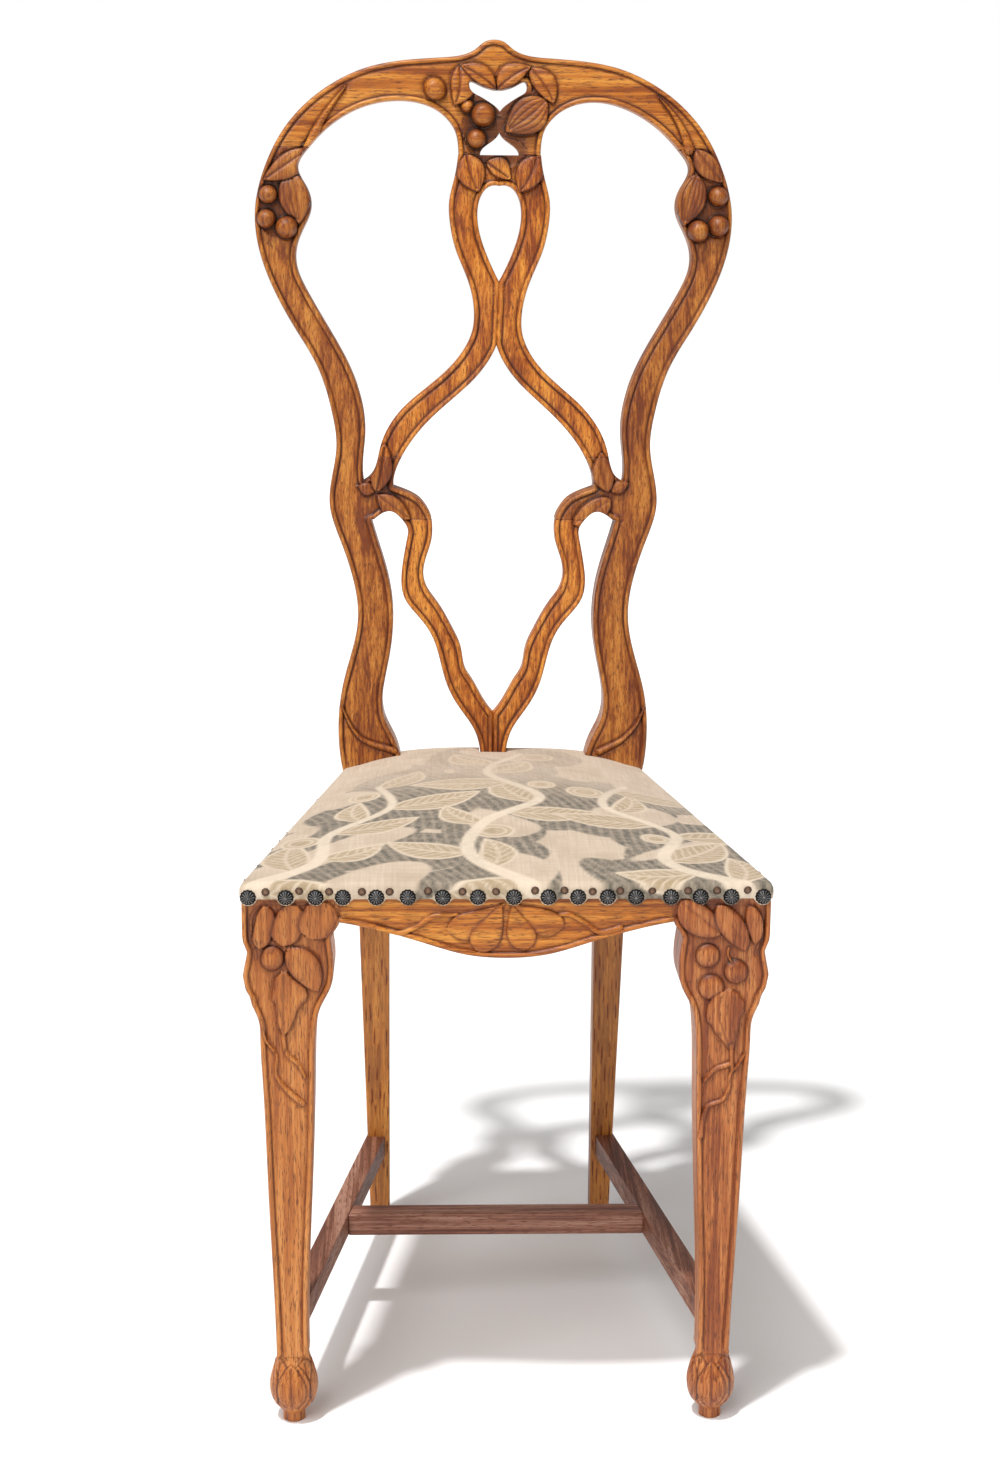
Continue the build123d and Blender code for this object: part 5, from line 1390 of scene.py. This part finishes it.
# The pale colour is a painted highlight on the petals and the boss.
black_iron = rusted_iron("blackened_iron", "#030304", "#8f8b88", 0.0, 0.42, 3.0, reach=(0.58, 0.84))
daisy_head = domed_head("daisy_head", nail_radius, nail_dome, 26, (1, 0.72, 0.28), flutes=0.55, boss=0.5)
driven("daisy_nails", "decorative_nails", nail_places, daisy_head, black_iron, "dark_nails", 4)

# Floor, light and camera. A pale studio floor under a high soft lamp from the front left, and a camera
# standing a little left of the chair's middle, above the seat and turned down on it.
bpy.context.scene.view_settings.view_transform = "Standard"
reach = 12.0
floor_mesh = bpy.data.meshes.new("studio_floor")
corners = [(x * reach, y * reach, 0) for x, y in ((-1, -1), (1, -1), (1, 1), (-1, 1))]
floor_mesh.from_pydata(corners, [], [(0, 1, 2, 3)])
floor = show("studio_floor", floor_mesh)
# Matt white paper: no sheen, only the chair's soft shadow.
paper, tree, shader = new_material("matt_white_paper")
feed(tree, shader, {"Base Color": linear("#fafafa"), "Roughness": 0.95, "Specular IOR Level": 0.0})
floor_mesh.materials.append(paper)

studio = bpy.data.worlds.new("studio")
studio.use_nodes = True
tree = studio.node_tree
path = add(tree, "ShaderNodeLightPath")
seen = add(tree, "ShaderNodeMath", {0: path["Is Camera Ray"], 1: path["Is Transmission Ray"]},
           operation="MAXIMUM")[0]
level = add(tree, "ShaderNodeMapRange", {"Value": seen, "To Min": 0.42, "To Max": 1.0})[0]
feed(tree, tree.nodes["Background"], {"Strength": level, "Color": (1, 1, 1, 1)})
bpy.context.scene.world = studio

lamps = {"high_key_lamp": (2.2, 3, (0.21, 0.27, -1)), "front_fill_lamp": (1.3, 40, (0.4, 0.65, -0.75))}
for name, (energy, spread, way) in lamps.items():
    lamp = bpy.data.lights.new(name, "SUN")
    lamp.energy, lamp.angle = energy, math.radians(spread)
    show(name, lamp).rotation_euler = Vector(way).to_track_quat("-Z", "Y").to_euler()

image_width = 1000
focal_pixels = 2415
camera_place = Vector((-0.0663, -2.05005, 0.961))
pitch, yaw, roll = (math.radians(a) for a in (12, 1.9, 0.4))
view = bpy.data.cameras.new("photo_camera")
view.sensor_fit = "HORIZONTAL"
view.sensor_width = 36.0
view.lens = view.sensor_width * focal_pixels / image_width
camera = show("photo_camera", view)
ahead = Vector((math.sin(yaw) * math.cos(pitch), math.cos(yaw) * math.cos(pitch), -math.sin(pitch)))
right = Vector((math.cos(yaw), -math.sin(yaw), 0))
up = right.cross(ahead)
right, up = (right * math.cos(roll) + up * math.sin(roll), up * math.cos(roll) - right * math.sin(roll))
camera.matrix_world = Matrix.Translation(camera_place) @ Matrix((right, up, -ahead)).transposed().to_4x4()
bpy.context.scene.camera = camera
